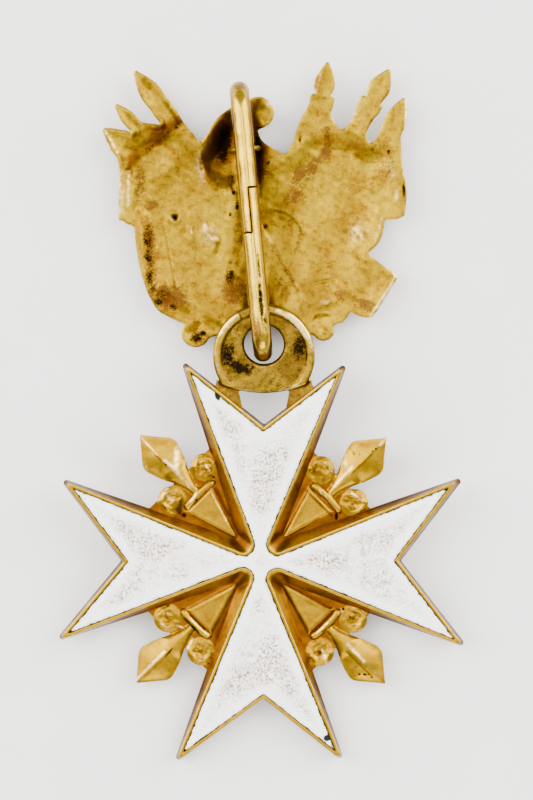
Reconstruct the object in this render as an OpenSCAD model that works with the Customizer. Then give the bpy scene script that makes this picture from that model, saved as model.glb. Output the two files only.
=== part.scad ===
// Neck badge of an order: an enamelled eight-pointed cross with a fleur-de-lis in each angle,
// a suspension eye, a long wire loop for the ribbon and a hollow trophy of arms.
// The badge lies on its face, with its back upwards. +Y is the badge's top, +X the right of its back.
// Lengths are millimetres.

/* [Cross] */
// Greatest reach of an arm's points from the centre of the cross
cross_reach = 27.2; // [23:0.1:32]
// Thickness over the rims
cross_thick = 3.2; // [2.6:0.1:4.2]
// Height of the rim's outer edge band
edge_band = 0.7; // [0.4:0.1:1.2]
// Radius of the enamel's rounded inner corners
corner_r = 1.5; // [1.2:0.05:1.8]
// Depth of the recess that holds the enamel
enamel_depth = 0.7; // [0.4:0.05:1]
// Clear gap between the enamel and its recess
enamel_gap = 0.06; // [0.04:0.01:0.12]
// Width of the lip round the enamel
lip_w = 0.45; // [0.3:0.05:0.7]

/* [Angles] */
// Thickness of the sunk web between the arms
web_thick = 0.7; // [0.4:0.1:1.2]
// Thickness of the raised triangle on the web
panel_thick = 1.3; // [0.8:0.1:1.8]

/* [Fleurs-de-lis] */
// Reach of the middle petal's tip from the centre of the cross
fleur_reach = 23.3; // [21:0.1:25]
// Half width of the middle petal
petal_half = 2.85; // [2.2:0.05:3.2]
// Thickness of the middle petal over its ridges
petal_thick = 2.1; // [1.4:0.1:2.8]
// Ring radius of a curled side petal
curl_r = 1.1; // [0.9:0.05:1.4]
// Radius of a curled side petal's roll
curl_roll_r = 0.72; // [0.5:0.02:0.85]
// Length of the band that ties the petals
tie_l = 5.4; // [4.4:0.1:6]
// Diameter of the band that ties the petals
tie_d = 0.8; // [0.6:0.05:1.1]

/* [Suspension eye] */
// Outer radius of the eye
eye_r = 6.8; // [6:0.1:7.6]
// Radius of the eye's hole
eye_hole_r = 2.65; // [2.4:0.05:3]
// Thickness of the eye over its raised rim
eye_thick = 2.8; // [2.2:0.1:3.4]
// Height of the raised rim over the eye's face
eye_rim_h = 0.3; // [0.1:0.05:0.5]
// Width of the raised rim
eye_rim_w = 1; // [0.6:0.1:1.4]

/* [Ribbon loop] */
// Length of the loop over its bends
loop_l = 37.5; // [34:0.1:42]
// Diameter of the loop's wire
wire_d = 2.6; // [2:0.05:2.8]
// Lean of the loop to the left
loop_lean = 5.2; // [0:0.1:6]
// Length of the stepped lap joint
lap_l = 6; // [3:0.1:9]
// Width of the lap joint's open line
lap_gap = 0.12; // [0.08:0.01:0.2]

/* [Trophy of arms] */
// Width over all
trophy_w = 40.8; // [36:0.1:44]
// Height over all
trophy_h = 38.2; // [36:0.1:42]
// Wall of the hollow casting
trophy_wall = 0.8; // [0.6:0.05:1.1]
// Height of the casting's back edge over its front
trophy_edge = 3.6; // [3:0.1:4.4]
// Depth of the dip in the edge where the loop crosses it
trophy_dip = 1.05; // [0.8:0.05:1.4]
// Width of the sloping band inside the edge
edge_slope = 1.2; // [0.8:0.1:2]
// Diameter of the staple's wire
staple_d = 0.7; // [0.5:0.05:0.9]
// Step of the relief's grid
relief_step = 1; // [0.9:0.05:1.4]

/* [Fit] */
// Clearance between pieces that touch
touch = 0.15; // [0.1:0.01:0.25]
// Clearance round the loop where it passes through
pass = 0.3; // [0.2:0.05:0.4]

/* [Hidden] */

// Colours: gilt of the cross, paler gilt of the trophy, white enamel.
GILT = [0.86, 0.62, 0.16];
PALE_GILT = [0.84, 0.71, 0.26];
WHITE = [0.96, 0.95, 0.93];

// The four arms. Outer points and notch, as shares of the cross's reach, measured along the arm and
// to either side of its axis; the enamel's points and notch follow in the same way.
// Columns: turn, left side, left along, right side, right along, notch side, notch along.
ARM_EDGES = [
    [0, -0.373, 0.971, 0.416, 0.961, 0.022, 0.674],
    [-90, -0.400, 0.985, 0.414, 1.000, 0.000, 0.695],
    [180, -0.400, 0.976, 0.408, 0.984, -0.015, 0.684],
    [90, -0.384, 0.985, 0.393, 0.963, 0.000, 0.684]
];
ARM_ENAMELS = [
    [0, -0.336, 0.926, 0.371, 0.910, 0.018, 0.643],
    [-90, -0.361, 0.920, 0.379, 0.949, -0.006, 0.660],
    [180, -0.368, 0.931, 0.373, 0.937, -0.018, 0.656],
    [90, -0.349, 0.934, 0.358, 0.911, 0.000, 0.648]
];
// Share of the way from an arm's enamel point to its outer point at which the lip ends.
LIP_POINT = 0.5;
// The flank's section. Columns: share of the way from the lip to the outer edge, share of the rise
// from the edge band to the lip.
FLANK = [[0, 1], [0.12, 0.95], [1, 0]];
// The rounded inner corners. Distances from the cross's centre as shares of its reach, of the
// enamel's corner and of the middle of the flank's foot, and that foot's radius as a share of the lip.
CORNER_AT = 0.067;
FLANK_FOOT_AT = 0.195;
FLANK_FOOT_R = 1.1;
CORNER_SPREAD = 67;
CORNER_STEPS = 4;

// The fleurs-de-lis. Columns: turn, sideways shift and outward shift as shares of the petal's half width.
FLEURS = [[-45, 0.1, 0.05], [45, 0.2, -0.06], [-135, -0.06, 0.04], [135, 0.03, -0.02]];
// The middle petal. Columns: distance from the centre as a share of the fleur's reach,
// half width as a share of the petal's half width, ridge as a share of half the petal's thickness.
PETAL = [
    [0.53, 0.17, 0.7],
    [0.6, 0.25, 0.9],
    [0.68, 0.5, 0.97],
    [0.73, 0.72, 1],
    [0.78, 0.87, 1],
    [0.83, 0.99, 0.95],
    [0.865, 0.95, 0.86],
    [0.93, 0.5, 0.62],
    [1, 0.03, 0.3]
];
PETAL_EDGE = 0.22;
// Places along the angle's axis, as shares of the fleur's reach.
CURL_AT = 0.612;
TIE_AT = 0.525;
WEB_END = 0.66;
PANEL_START = 0.18;
PANEL_END = 0.515;
// Half widths on the angle's axis, as shares of the petal's half width.
CURL_SIDE = 1.1;
PANEL_HALF = 0.75;

// The eye's centre and its hole's centre above the cross's centre, as shares of the cross's reach.
EYE_SIDE = 0.02;
EYE_AT = 1.013;
HOLE_AT = 1.066;
// The eye's flat foot as a share of its radius.
EYE_FOOT = 0.74;
// The solder in the eye's corners. Its upper points: side and drop as shares of the eye's radius.
SOLDER_HEAD = [[0.5, 0.7], [0.93, 0.5]];
// Its lower points: shares of the way from the top arm's notch to its points.
SOLDER_FEET = [0.62, 0.26];

// The trophy's outline, clockwise from the lance at the lower left. Lance heads and round stretches
// are worked out from their own tables, and the runs between them follow here.
// Columns: per cent of the trophy's width from its middle, per cent of its height from its foot.
HELMET_RUN = [[-24.1, 79.6], [-18.1, 71.8], [-15.6, 75.4], [-13.0, 79.9], [-8.7, 83.6], [-5.5, 85.2]];
COLLAR_RUN = [[0.7, 75.9], [2.0, 72.3], [7.9, 68.4], [9.2, 67.8], [10.2, 68.4], [11.8, 71.4], [14.4, 79.2]];
LANCE_RUN = [[24.6, 81.5], [26.2, 78.2], [27.8, 76.3], [29.1, 76.8], [31.1, 79.1]];
SLOT_RUN = [[38.6, 79.8], [36.3, 75.2], [36.5, 73.1], [37.6, 71.5], [39.3, 73.0]];
RIGHT_RUN = [
    [47.6, 70.0], [47.9, 65.1], [49.0, 58.1], [49.5, 53.6], [48.6, 46.1], [46.4, 44.8],
    [42.4, 44.6], [41.4, 39.2], [39.6, 35.6], [37.2, 33.3], [38.0, 31.6], [44.5, 26.7],
    [46.5, 24.6], [41.9, 16.4], [39.9, 13.0], [37.6, 10.1], [34.7, 10.5], [31.1, 12.2],
    [29.6, 10.1], [28.5, 8.7], [25.4, 7.5]
];
FOOT_RUN = [[16.4, 4.6], [2.0, 7.8], [-11.0, 4.3]];
LEFT_RUN = [
    [-24.4, 8.5], [-27.3, 9.9], [-31.3, 12.2], [-32.9, 13.9], [-35.5, 19.0], [-37.3, 24.6],
    [-38.4, 29.5], [-39.3, 35.4], [-40.1, 42.3], [-42.4, 43.1], [-43.2, 44.1], [-44.9, 44.3],
    [-44.9, 63.3], [-45.5, 66.1]
];
// Round stretches: plume, tassel and ball. Columns: per cent across, per cent up, radius as a per
// cent of the width, and the turns at which the stretch starts and ends, clockwise.
PLUME = [0.7, 82.1, 5.3, 130, -80];
TASSEL = [22.1, 6.2, 3.7, -20, -150];
BALL = [-19.7, 5.1, 4.8, -20, -220];
ARC_STEPS = 8;
// Lance heads. Columns: tip across, tip up, foot across, foot up in per cent; shoulder and neck as
// shares of the head's length; half widths of shoulder, neck and collar in per cent of the width.
LANCES = [
    [-50.0, 76.5, -44.8, 72.3, 0.80, 0.90, 3.4, 3.9, 4.2],
    [-46.0, 85.0, -39.1, 77.1, 0.50, 0.80, 2.3, 2.4, 2.4],
    [-39.9, 96.9, -28.6, 80.5, 0.45, 0.75, 3.6, 3.4, 3.6],
    [23.6, 100.0, 21.4, 84.7, 0.50, 0.75, 3.6, 2.7, 4.0],
    [43.8, 97.4, 36.6, 83.3, 0.45, 0.76, 3.7, 3.0, 3.9],
    [48.6, 87.3, 44.2, 75.2, 0.55, 0.80, 3.5, 3.6, 3.6]
];
// Hollows of the back, which stand as forms on the front: cuirass, flags, helmet, plume, left and
// right lance bundles, ball, gun's breech, tassel and shield.
// Columns: per cent across and up, half width and half height in per cent, turn, share of the depth.
HOLLOWS = [
    [-19.5, 40, 20, 34, 8, 0.92],
    [27, 40, 19.5, 31.5, -6, 0.85],
    [-11, 69.3, 7.4, 12, -8, 1],
    [0.7, 82.1, 5, 5, 0, 0.4],
    [-34.5, 68, 13, 9, 30, 0.5],
    [31.5, 67, 15.6, 10, -15, 0.55],
    [-19.7, 5.1, 4.4, 4.7, 0, 0.6],
    [36.6, 21.4, 8.6, 8.4, -55, 0.5],
    [22, 7.1, 5, 5.6, 0, 0.5],
    [2, 33.6, 13, 14.7, 0, 0.95]
];
// The relief's grid reaches past the outline. Its span and its margin at the left and the foot, as
// shares of the trophy's size.
SPAN = 1.0457;
MARGIN = 0.0213;
// Depth of the plain back inside its edge, as a share of the greatest depth.
PLAIN_DEPTH = 0.38;
// Fall of the trophy's ridges on the front below its lance heads, as a share of the wall.
RIDGE = 0.6;
RIDGE_SHARE = 0.85;
// Rise of the trophy's foot above the eye's centre, and its shift to the left, as shares of its size.
TROPHY_RISE = 0.027;
TROPHY_SIDE = -0.013;
// Place of the staple as a share of the loop's length from its foot, and of the lap joint's middle.
STAPLE_AT = 0.76;
LAP_AT = 0.54;

// Heights over the surface that the badge lies on.
far_z = trophy_edge - trophy_dip + touch + wire_d / 2;
point_y = 0.97 * cross_reach;
hole_y = HOLE_AT * cross_reach;
eye_y = EYE_AT * cross_reach;
eye_x = EYE_SIDE * cross_reach;
rest_z = far_z + wire_d / 2 + touch;
tilt = asin((rest_z - (cross_thick - eye_thick) / 2) / (point_y + hole_y + eye_hole_r));
cross_z = cross_thick / 2 * cos(tilt) + point_y * sin(tilt);
eye_top_z = cross_z + (eye_y + eye_r) * sin(tilt) + eye_thick / 2 * cos(tilt);
near_z = eye_top_z + touch + wire_d / 2;
bend_r = (near_z - far_z) / 2;
loop_z = (near_z + far_z) / 2;
// Places in plan, first from the cross's centre and then from the middle of the whole badge.
loop_foot_y = (hole_y - eye_hole_r) * cos(tilt) + pass;
trophy_y = eye_y * cos(tilt) + TROPHY_RISE * trophy_h;
trophy_x = TROPHY_SIDE * trophy_w;
right_reach = ARM_EDGES[1][4] * cross_reach;
left_reach = ARM_EDGES[3][2] * cross_reach;
foot_reach = ARM_EDGES[2][4] * cross_reach * cos(tilt);
shift_x = (left_reach - right_reach) / 2;
shift_y = (foot_reach - trophy_y - trophy_h) / 2;

function turned(p, a) = [p[0] * cos(a) - p[1] * sin(a), p[0] * sin(a) + p[1] * cos(a)];
function mix(a, b, t) = a + (b - a) * t;
function flat(rows) = [for (row = rows) each row];
function unit(v) = v / norm(v);

// A clockwise outline moved outwards by d.
function grown(line, d) =
    let (n = len(line))
    [
        for (i = [0:n - 1])
            let (
                u = unit(turned(line[i] - line[(i + n - 1) % n], 90)),
                v = unit(turned(line[(i + 1) % n] - line[i], 90))
            )
            line[i] + (u + v) * d / (1 + u * v)
    ];

// One arm's three outer corners, from the left point over the notch to the right one.
function arm_corners(row) = [
    for (i = [1, 5, 3]) turned([row[i], row[i + 1]] * cross_reach, row[0])
];
// The rounded corner in the angle at the turn a, from the arm on its right to the arm on its left.
function inner_corner(r, middle, a, spread) = [
    for (i = [0:CORNER_STEPS])
        turned([0, middle], a) + turned([0, -r], a + mix(spread, -spread, i / CORNER_STEPS))
];
// A whole outline of the cross: each arm's corners and then the rounded corner clockwise after it.
function cross_outline(rows, r, middle, spread) = flat([
    for (row = rows) concat(arm_corners(row), inner_corner(r, middle, row[0] - 45, -spread))
]);
corner_middle = CORNER_AT * cross_reach + corner_r;
foot_middle = FLANK_FOOT_AT * cross_reach;
ARM_LIPS = mix(ARM_ENAMELS, ARM_EDGES, LIP_POINT);
enamel_line = cross_outline(ARM_ENAMELS, corner_r, corner_middle, CORNER_SPREAD);
lip_line = cross_outline(ARM_LIPS, corner_r - lip_w, corner_middle, CORNER_SPREAD);
edge_line = cross_outline(ARM_EDGES, FLANK_FOOT_R * lip_w, foot_middle, CORNER_SPREAD);
function flank_line(t) = [for (i = [0:len(lip_line) - 1]) mix(lip_line[i], edge_line[i], t)];

// The faces over one of the cross's outlines: strips across each arm out to its notch, and the middle.
function cross_cap() =
    let (half = CORNER_STEPS / 2, apex = 3 + half, step = 4 + CORNER_STEPS)
    concat(
        [[for (k = [0:3]) k * step + apex]],
        [
            for (k = [0:3], i = [0:half - 1])
                let (a = k * step + apex - i, b = (k + 3) % 4 * step + apex + i)
                [b, b + 1, a - 1, a]
        ],
        [
            for (k = [0:3])
                let (a = k * step, b = (k + 3) % 4 * step + step - 1)
                each [[b, a, a + 1], [b, a + 1, a + 3], [a + 1, a + 2, a + 3]]
        ]
    );

// A solid through rings of points, with the faces of cap, or else one face, over both end rings.
module skin(rings, cap = []) {
    n = len(rings[0]);
    m = len(rings);
    end = len(cap) > 0 ? cap : [[for (i = [0:n - 1]) i]];
    sides = [
        for (j = [0:m - 2], i = [0:n - 1])
            let (k = j + 1, h = (i + 1) % n)
            each [[j * n + i, j * n + h, k * n + h], [j * n + i, k * n + h, k * n + i]]
    ];
    caps = [
        for (face = end)
            each [[for (i = [len(face) - 1:-1:0]) face[i]], [for (i = face) (m - 1) * n + i]]
    ];
    polyhedron(points = flat(rings), faces = concat(sides, caps), convexity = 8);
}

module on_cross() {
    translate([shift_x, shift_y, cross_z]) rotate([tilt, 0, 0]) children();
}

function lifted(line, z) = [for (p = line) [p[0], p[1], z]];

// The cross's body, from lip to lip down over its flanks.
module cross_body() {
    half = cross_thick / 2;
    low = edge_band / 2;
    lower = [for (row = FLANK) lifted(flank_line(row[0]), -mix(low, half, row[1]))];
    upper = [for (i = [len(FLANK) - 1:-1:0]) lifted(flank_line(FLANK[i][0]), mix(low, half, FLANK[i][1]))];
    skin(concat(lower, upper), cross_cap());
}

// The recess for one side's enamel.
module enamel_recess() {
    translate([0, 0, cross_thick / 2 - enamel_depth]) linear_extrude(2 * enamel_depth) polygon(enamel_line);
}

// The sunk web between two arms and the raised triangle on it.
module web() {
    end = WEB_END * fleur_reach;
    half = end * tan(24);
    translate([0, 0, -web_thick / 2]) linear_extrude(web_thick)
        polygon([[0, corner_middle], [-half, end], [half, end]]);
    wide = PANEL_HALF * petal_half;
    translate([0, 0, -panel_thick / 2]) linear_extrude(panel_thick)
        polygon([
            [0, PANEL_START * fleur_reach],
            [-wide, PANEL_END * fleur_reach],
            [wide, PANEL_END * fleur_reach]
        ]);
}

module middle_petal() {
    edge_z = PETAL_EDGE * petal_thick / 2;
    rings = [
        for (row = PETAL)
            let (y = row[0] * fleur_reach, w = row[1] * petal_half, z = row[2] * petal_thick / 2)
            [[w, y, edge_z], [0, y, z], [-w, y, edge_z], [-w, y, -edge_z], [0, y, -z], [w, y, -edge_z]]
    ];
    skin(rings);
}

module side_petal() {
    rotate([0, 0, -60]) rotate_extrude(angle = 240, $fn = 28) translate([curl_r, 0]) circle(curl_roll_r, $fn = 16);
    cylinder(h = web_thick, r = curl_r, center = true, $fn = 28);
    for (a = [-60, 180]) {
        rotate([0, 0, a]) translate([curl_r, 0, 0]) sphere(curl_roll_r, $fn = 16);
    }
}

module tie() {
    for (side = [-1, 1]) {
        translate([0, TIE_AT * fleur_reach, side * petal_thick * 0.4])
            rotate([0, 90, 0]) cylinder(h = tie_l, d = tie_d, center = true, $fn = 20);
    }
}

module fleur() {
    middle_petal();
    for (side = [0, 1]) {
        mirror([side, 0, 0])
            translate([CURL_SIDE * petal_half, CURL_AT * fleur_reach, 0]) side_petal();
    }
    tie();
}

module eye_blank() {
    face = eye_thick - 2 * eye_rim_h;
    cylinder(h = face, r = eye_r, center = true, $fn = 72);
    rotate_extrude($fn = 72) translate([eye_r - eye_rim_w, -eye_thick / 2]) square([eye_rim_w, eye_thick]);
}

module solder() {
    thick = eye_thick - 4 * eye_rim_h;
    notch = arm_corners(ARM_EDGES[0])[1];
    for (side = [-1, 1]) {
        point = arm_corners(ARM_EDGES[0])[side + 1];
        head = [for (p = SOLDER_HEAD) [eye_x + side * p[0] * eye_r, eye_y - p[1] * eye_r]];
        feet = [for (t = SOLDER_FEET) mix(notch, point, t) - [0, lip_w]];
        linear_extrude(thick, center = true) polygon(concat(head, feet));
    }
}

module eye() {
    translate([eye_x, eye_y, 0]) intersection() {
        eye_blank();
        translate([0, eye_r * (2 - EYE_FOOT), 0])
            cylinder(h = 2 * eye_thick, r = 2 * eye_r, center = true, $fn = 96);
    }
    solder();
}

module cross_frame() {
    color(GILT) on_cross() difference() {
        union() {
            cross_body();
            for (row = FLEURS) {
                rotate([0, 0, row[0]]) {
                    web();
                    translate([row[1] * petal_half, row[2] * petal_half, 0]) fleur();
                }
            }
            eye();
        }
        for (side = [0, 1]) {
            mirror([0, 0, side]) enamel_recess();
        }
        translate([eye_x, hole_y, 0])
            cylinder(h = 2 * eye_thick, r = eye_hole_r, center = true, $fn = 64);
    }
}

// One continuous field of enamel, a little lower than the lip.
module enamel_field() {
    floor_z = cross_thick / 2 - enamel_depth + enamel_gap;
    translate([0, 0, floor_z]) linear_extrude(enamel_depth - enamel_gap - touch / 2)
        polygon(grown(enamel_line, -enamel_gap));
}

module enamel_back() {
    color(WHITE) on_cross() enamel_field();
}

module enamel_front() {
    color(WHITE) on_cross() mirror([0, 0, 1]) enamel_field();
}

// The loop stands in its own upright plane, with its foot at the origin and its length along +Y.
module on_loop() {
    translate([shift_x + eye_x, shift_y + loop_foot_y, loop_z]) rotate([0, 0, loop_lean]) children();
}

module half_bend() {
    rotate([0, 90, 0]) rotate_extrude(angle = 180, $fn = 48) translate([bend_r, 0]) circle(d = wire_d, $fn = 32);
}

module lap_cut() {
    deep = wire_d + 2 * touch;
    for (end = [-1, 1]) {
        translate([-end * deep / 2, end * lap_l / 2, 0]) cube([deep, lap_gap, deep], center = true);
    }
    cube([lap_gap, lap_l + lap_gap, deep], center = true);
}

module suspension_loop() {
    low = bend_r + wire_d / 2;
    straight = loop_l - 2 * low;
    color(GILT) on_loop() difference() {
        union() {
            for (side = [-1, 1]) {
                translate([0, low, side * bend_r]) rotate([-90, 0, 0])
                    cylinder(h = straight, d = wire_d, $fn = 32);
            }
            translate([0, low + straight, 0]) half_bend();
            translate([0, low, 0]) mirror([0, 1, 0]) half_bend();
        }
        translate([0, LAP_AT * loop_l, bend_r]) lap_cut();
    }
}

function trophy_point(p) = [p[0] * trophy_w / 100, p[1] * trophy_h / 100];
function trophy_run(rows) = [for (row = rows) trophy_point(row)];
function round_run(row) = [
    for (i = [0:ARC_STEPS])
        trophy_point(row) + turned([row[2] * trophy_w / 100, 0], mix(row[3], row[4], i / ARC_STEPS))
];

// A lance head's outline, clockwise from the left of its foot over its tip.
function lance_run(row) =
    let (
        tip = trophy_point([row[0], row[1]]),
        along = trophy_point([row[2], row[3]]) - tip,
        left = turned(unit(along), -90) * trophy_w / 100,
        half = [[0.02, 0.5], [row[4] / 2, row[6] * 0.64], [row[4], row[6]], [row[5], row[7]],
            [row[5] + 0.05, row[8]], [1, row[8]]]
    )
    concat(
        [for (i = [len(half) - 1:-1:0]) tip + along * half[i][0] + left * half[i][1]],
        [for (h = half) tip + along * h[0] - left * h[1]]
    );

outline = concat(
    lance_run(LANCES[0]), lance_run(LANCES[1]), lance_run(LANCES[2]),
    trophy_run(HELMET_RUN), round_run(PLUME), trophy_run(COLLAR_RUN),
    lance_run(LANCES[3]), trophy_run(LANCE_RUN), lance_run(LANCES[4]),
    trophy_run(SLOT_RUN), lance_run(LANCES[5]), trophy_run(RIGHT_RUN),
    round_run(TASSEL), trophy_run(FOOT_RUN), round_run(BALL), trophy_run(LEFT_RUN)
);

// Distance from a point to the nearest edge of the outline, and whether the point is inside it.
function edge_distance(p, a, b) =
    let (t = max(0, min(1, (p - a) * (b - a) / ((b - a) * (b - a)))))
    norm(p - a - t * (b - a));
function crosses(p, a, b) =
    (a[1] > p[1]) != (b[1] > p[1]) && p[0] < a[0] + (b[0] - a[0]) * (p[1] - a[1]) / (b[1] - a[1]) ? 1 : 0;
function total(list, i = 0) = i < len(list) ? list[i] + total(list, i + 1) : 0;
function depth_inside(p) =
    let (
        n = len(outline),
        cuts = total([for (i = [0:n - 1]) crosses(p, outline[i], outline[(i + 1) % n])])
    )
    cuts % 2 == 0 ? 0 : min([for (i = [0:n - 1]) edge_distance(p, outline[i], outline[(i + 1) % n])]);

// Share of the greatest depth that one hollow reaches at a point.
function hollow(p, row) =
    let (
        q = turned(p - trophy_point(row), -row[4]),
        u = pow(q[0] * 100 / (row[2] * trophy_w), 2) + pow(q[1] * 100 / (row[3] * trophy_h), 2)
    )
    row[5] * max(0, 1 - u);

// The loop's line in the trophy's own plan.
loop_at = [eye_x - trophy_x, loop_foot_y - trophy_y];
function off_loop(p) = abs(turned(p - loop_at, -loop_lean)[0]);
BANK = 0.8;
function back_height(p) =
    let (
        deepest = trophy_edge - trophy_wall,
        inside = min(1, depth_inside(p) / edge_slope),
        hollows = max([for (row = HOLLOWS) hollow(p, row)]),
        depth = deepest * max(PLAIN_DEPTH, hollows) * inside * inside * (3 - 2 * inside),
        dip = trophy_edge - trophy_dip + max(0, off_loop(p) - wire_d / 2 - touch) * BANK
    )
    min(trophy_edge - depth, dip);

// The hollow casting's relief as a wall of even height over its whole plan.
module relief() {
    columns = ceil(trophy_w * SPAN / relief_step);
    rows = ceil(trophy_h * SPAN / relief_step);
    xs = [for (i = [0:columns]) (i / columns * SPAN - 0.5 - MARGIN) * trophy_w];
    ys = [for (j = [0:rows]) (j / rows * SPAN - MARGIN) * trophy_h];
    back = [for (y = ys, x = xs) [x, y, back_height([x, y])]];
    front = [for (p = back) [p[0], p[1], p[2] - trophy_wall]];
    wide = columns + 1;
    count = len(back);
    cells = [for (j = [0:rows - 1], i = [0:columns - 1]) j * wide + i];
    top = [for (k = cells) each [[k, k + wide, k + wide + 1], [k, k + wide + 1, k + 1]]];
    under = [for (f = top) [f[2] + count, f[1] + count, f[0] + count]];
    rim = concat(
        [for (i = [0:columns - 1]) [i, i + 1]],
        [for (j = [0:rows - 1]) [j * wide + columns, (j + 1) * wide + columns]],
        [for (i = [columns:-1:1]) [rows * wide + i, rows * wide + i - 1]],
        [for (j = [rows:-1:1]) [j * wide, (j - 1) * wide]]
    );
    walls = [for (e = rim) each [[e[0], e[1], e[1] + count], [e[0], e[1] + count, e[0] + count]]];
    polyhedron(points = concat(back, front), faces = concat(top, under, walls), convexity = 10);
}

// A ridge along the front of each lance head and along its shaft below.
module lance_ridges() {
    low = trophy_edge - trophy_wall;
    for (row = LANCES) {
        tip = trophy_point([row[0], row[1]]);
        foot = trophy_point([row[2], row[3]]);
        side = turned(unit(foot - tip), 90) * row[6] * RIDGE_SHARE * trophy_w / 100;
        keel = mix(tip, foot, 0.3);
        hull() {
            translate([0, 0, low + trophy_wall / 3]) linear_extrude(trophy_wall / 4)
                polygon([mix(tip, foot, 0.1), foot + side, foot - side]);
            translate([0, 0, low - RIDGE * trophy_wall]) linear_extrude(trophy_wall / 4)
                polygon([keel, foot + side / 20, foot - side / 20]);
        }
    }
}

// The staple that holds the loop's far strand in the helmet's hollow.
module staple() {
    arch_r = wire_d / 2 + touch + staple_d / 2;
    leg = far_z - trophy_wall / 2;
    translate([loop_at[0], loop_at[1], far_z]) rotate([0, 0, loop_lean])
        translate([0, STAPLE_AT * loop_l, 0]) {
            rotate([90, 0, 0]) rotate_extrude(angle = 180, $fn = 32)
                translate([arch_r, 0]) circle(d = staple_d, $fn = 16);
            for (side = [-1, 1]) {
                translate([side * arch_r, 0, -leg]) cylinder(h = leg, d = staple_d, $fn = 16);
            }
        }
}

module trophy_of_arms() {
    color(PALE_GILT) translate([shift_x + trophy_x, shift_y + trophy_y, 0]) union() {
        intersection() {
            translate([0, 0, -trophy_edge]) linear_extrude(3 * trophy_edge) polygon(outline);
            relief();
        }
        lance_ridges();
        staple();
    }
}

cross_frame();
enamel_back();
enamel_front();
suspension_loop();
trophy_of_arms();
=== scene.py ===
"""Order neck badge, seen from behind: a white enamelled eight-pointed cross with gilt lilies in its
angles, hung by an eye and a long wire loop under a cast trophy of arms, hollowed at the back.

Lengths are millimetres until a mesh is written. Plan places are in the badge's own frame, +Y towards
the trophy and +Z out of the badge's back, or in the cross's frame, with the cross's centre as origin.
"""

import logging
import math
from collections.abc import Callable, Sequence
from dataclasses import dataclass, field
from enum import Enum

import bpy
import numpy as np
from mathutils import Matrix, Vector
from mathutils.geometry import tessellate_polygon
from numpy.typing import NDArray

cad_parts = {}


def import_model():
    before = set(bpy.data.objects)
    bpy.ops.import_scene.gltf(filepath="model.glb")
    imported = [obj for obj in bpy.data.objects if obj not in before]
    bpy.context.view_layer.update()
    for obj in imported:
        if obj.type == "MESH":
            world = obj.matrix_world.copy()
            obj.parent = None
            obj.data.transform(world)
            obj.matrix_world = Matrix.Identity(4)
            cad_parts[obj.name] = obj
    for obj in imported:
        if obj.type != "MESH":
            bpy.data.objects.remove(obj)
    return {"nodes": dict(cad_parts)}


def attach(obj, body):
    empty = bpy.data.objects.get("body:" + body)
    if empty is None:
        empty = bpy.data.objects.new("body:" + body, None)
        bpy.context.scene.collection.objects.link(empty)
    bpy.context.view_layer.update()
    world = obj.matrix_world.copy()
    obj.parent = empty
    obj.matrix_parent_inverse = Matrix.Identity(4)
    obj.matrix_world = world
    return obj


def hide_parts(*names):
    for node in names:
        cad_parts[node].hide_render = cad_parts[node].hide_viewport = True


Array = NDArray[np.float64]
Index = NDArray[np.int64]
Field = Callable[[Array], Array]
Rows = Sequence[Sequence[float]]
Pairs = tuple[tuple[float, float], ...]
Colour = tuple[float, float, float]
Socket = bpy.types.NodeSocket
Groups = dict[str, bpy.types.NodeTree]

MM = 0.001
TINY = 1e-12

log = logging.getLogger("neck_badge")


class Slot(Enum):
    """Material slots of the record."""

    CROSS = "cross_gilt"
    ENAMEL = "white_enamel"
    LOOP = "loop_gilt"
    TROPHY = "trophy_gilt"


class Face(Enum):
    """The two faces of the cross, as the sign of their height."""

    BACK = 1
    FRONT = -1


# Plane geometry


def turned(points: Array, degrees: float) -> Array:
    """Returns plan points turned anticlockwise about the origin."""
    a = math.radians(degrees)
    return points @ np.array([[math.cos(a), math.sin(a)], [-math.sin(a), math.cos(a)]])


def spokes(angle: Array) -> Array:
    """Returns unit vectors at angles in radians."""
    return np.stack([np.cos(angle), np.sin(angle)], -1)


def mirrored(points: Array) -> Array:
    """Returns points with those left of the axis folded over to its right."""
    return np.column_stack([np.abs(points[:, 0]), points[:, 1]])


def distance(points: Array, centre: Array) -> Array:
    """Returns the distance of each point from a centre."""
    return np.linalg.norm(points - centre, axis=-1)


def unit(vectors: Array) -> Array:
    """Returns vectors brought to length one."""
    return vectors / np.maximum(np.linalg.norm(vectors, axis=-1, keepdims=True), TINY)


def wedge(u: Array, v: Array) -> Array:
    """Returns the cross product in the plane, positive where v lies to the left of u."""
    return u[:, 0] * v[:, 1] - u[:, 1] * v[:, 0]


def smooth(t: Array) -> Array:
    """Returns the smooth step 3t^2 - 2t^3 of t held between 0 and 1."""
    t = np.clip(t, 0.0, 1.0)
    return t * t * (3.0 - 2.0 * t)


def bell(value: Array, width: float) -> Array:
    """Returns the bell curve exp(-(value / width)^2)."""
    return np.exp(-((value / width) ** 2))


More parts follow.
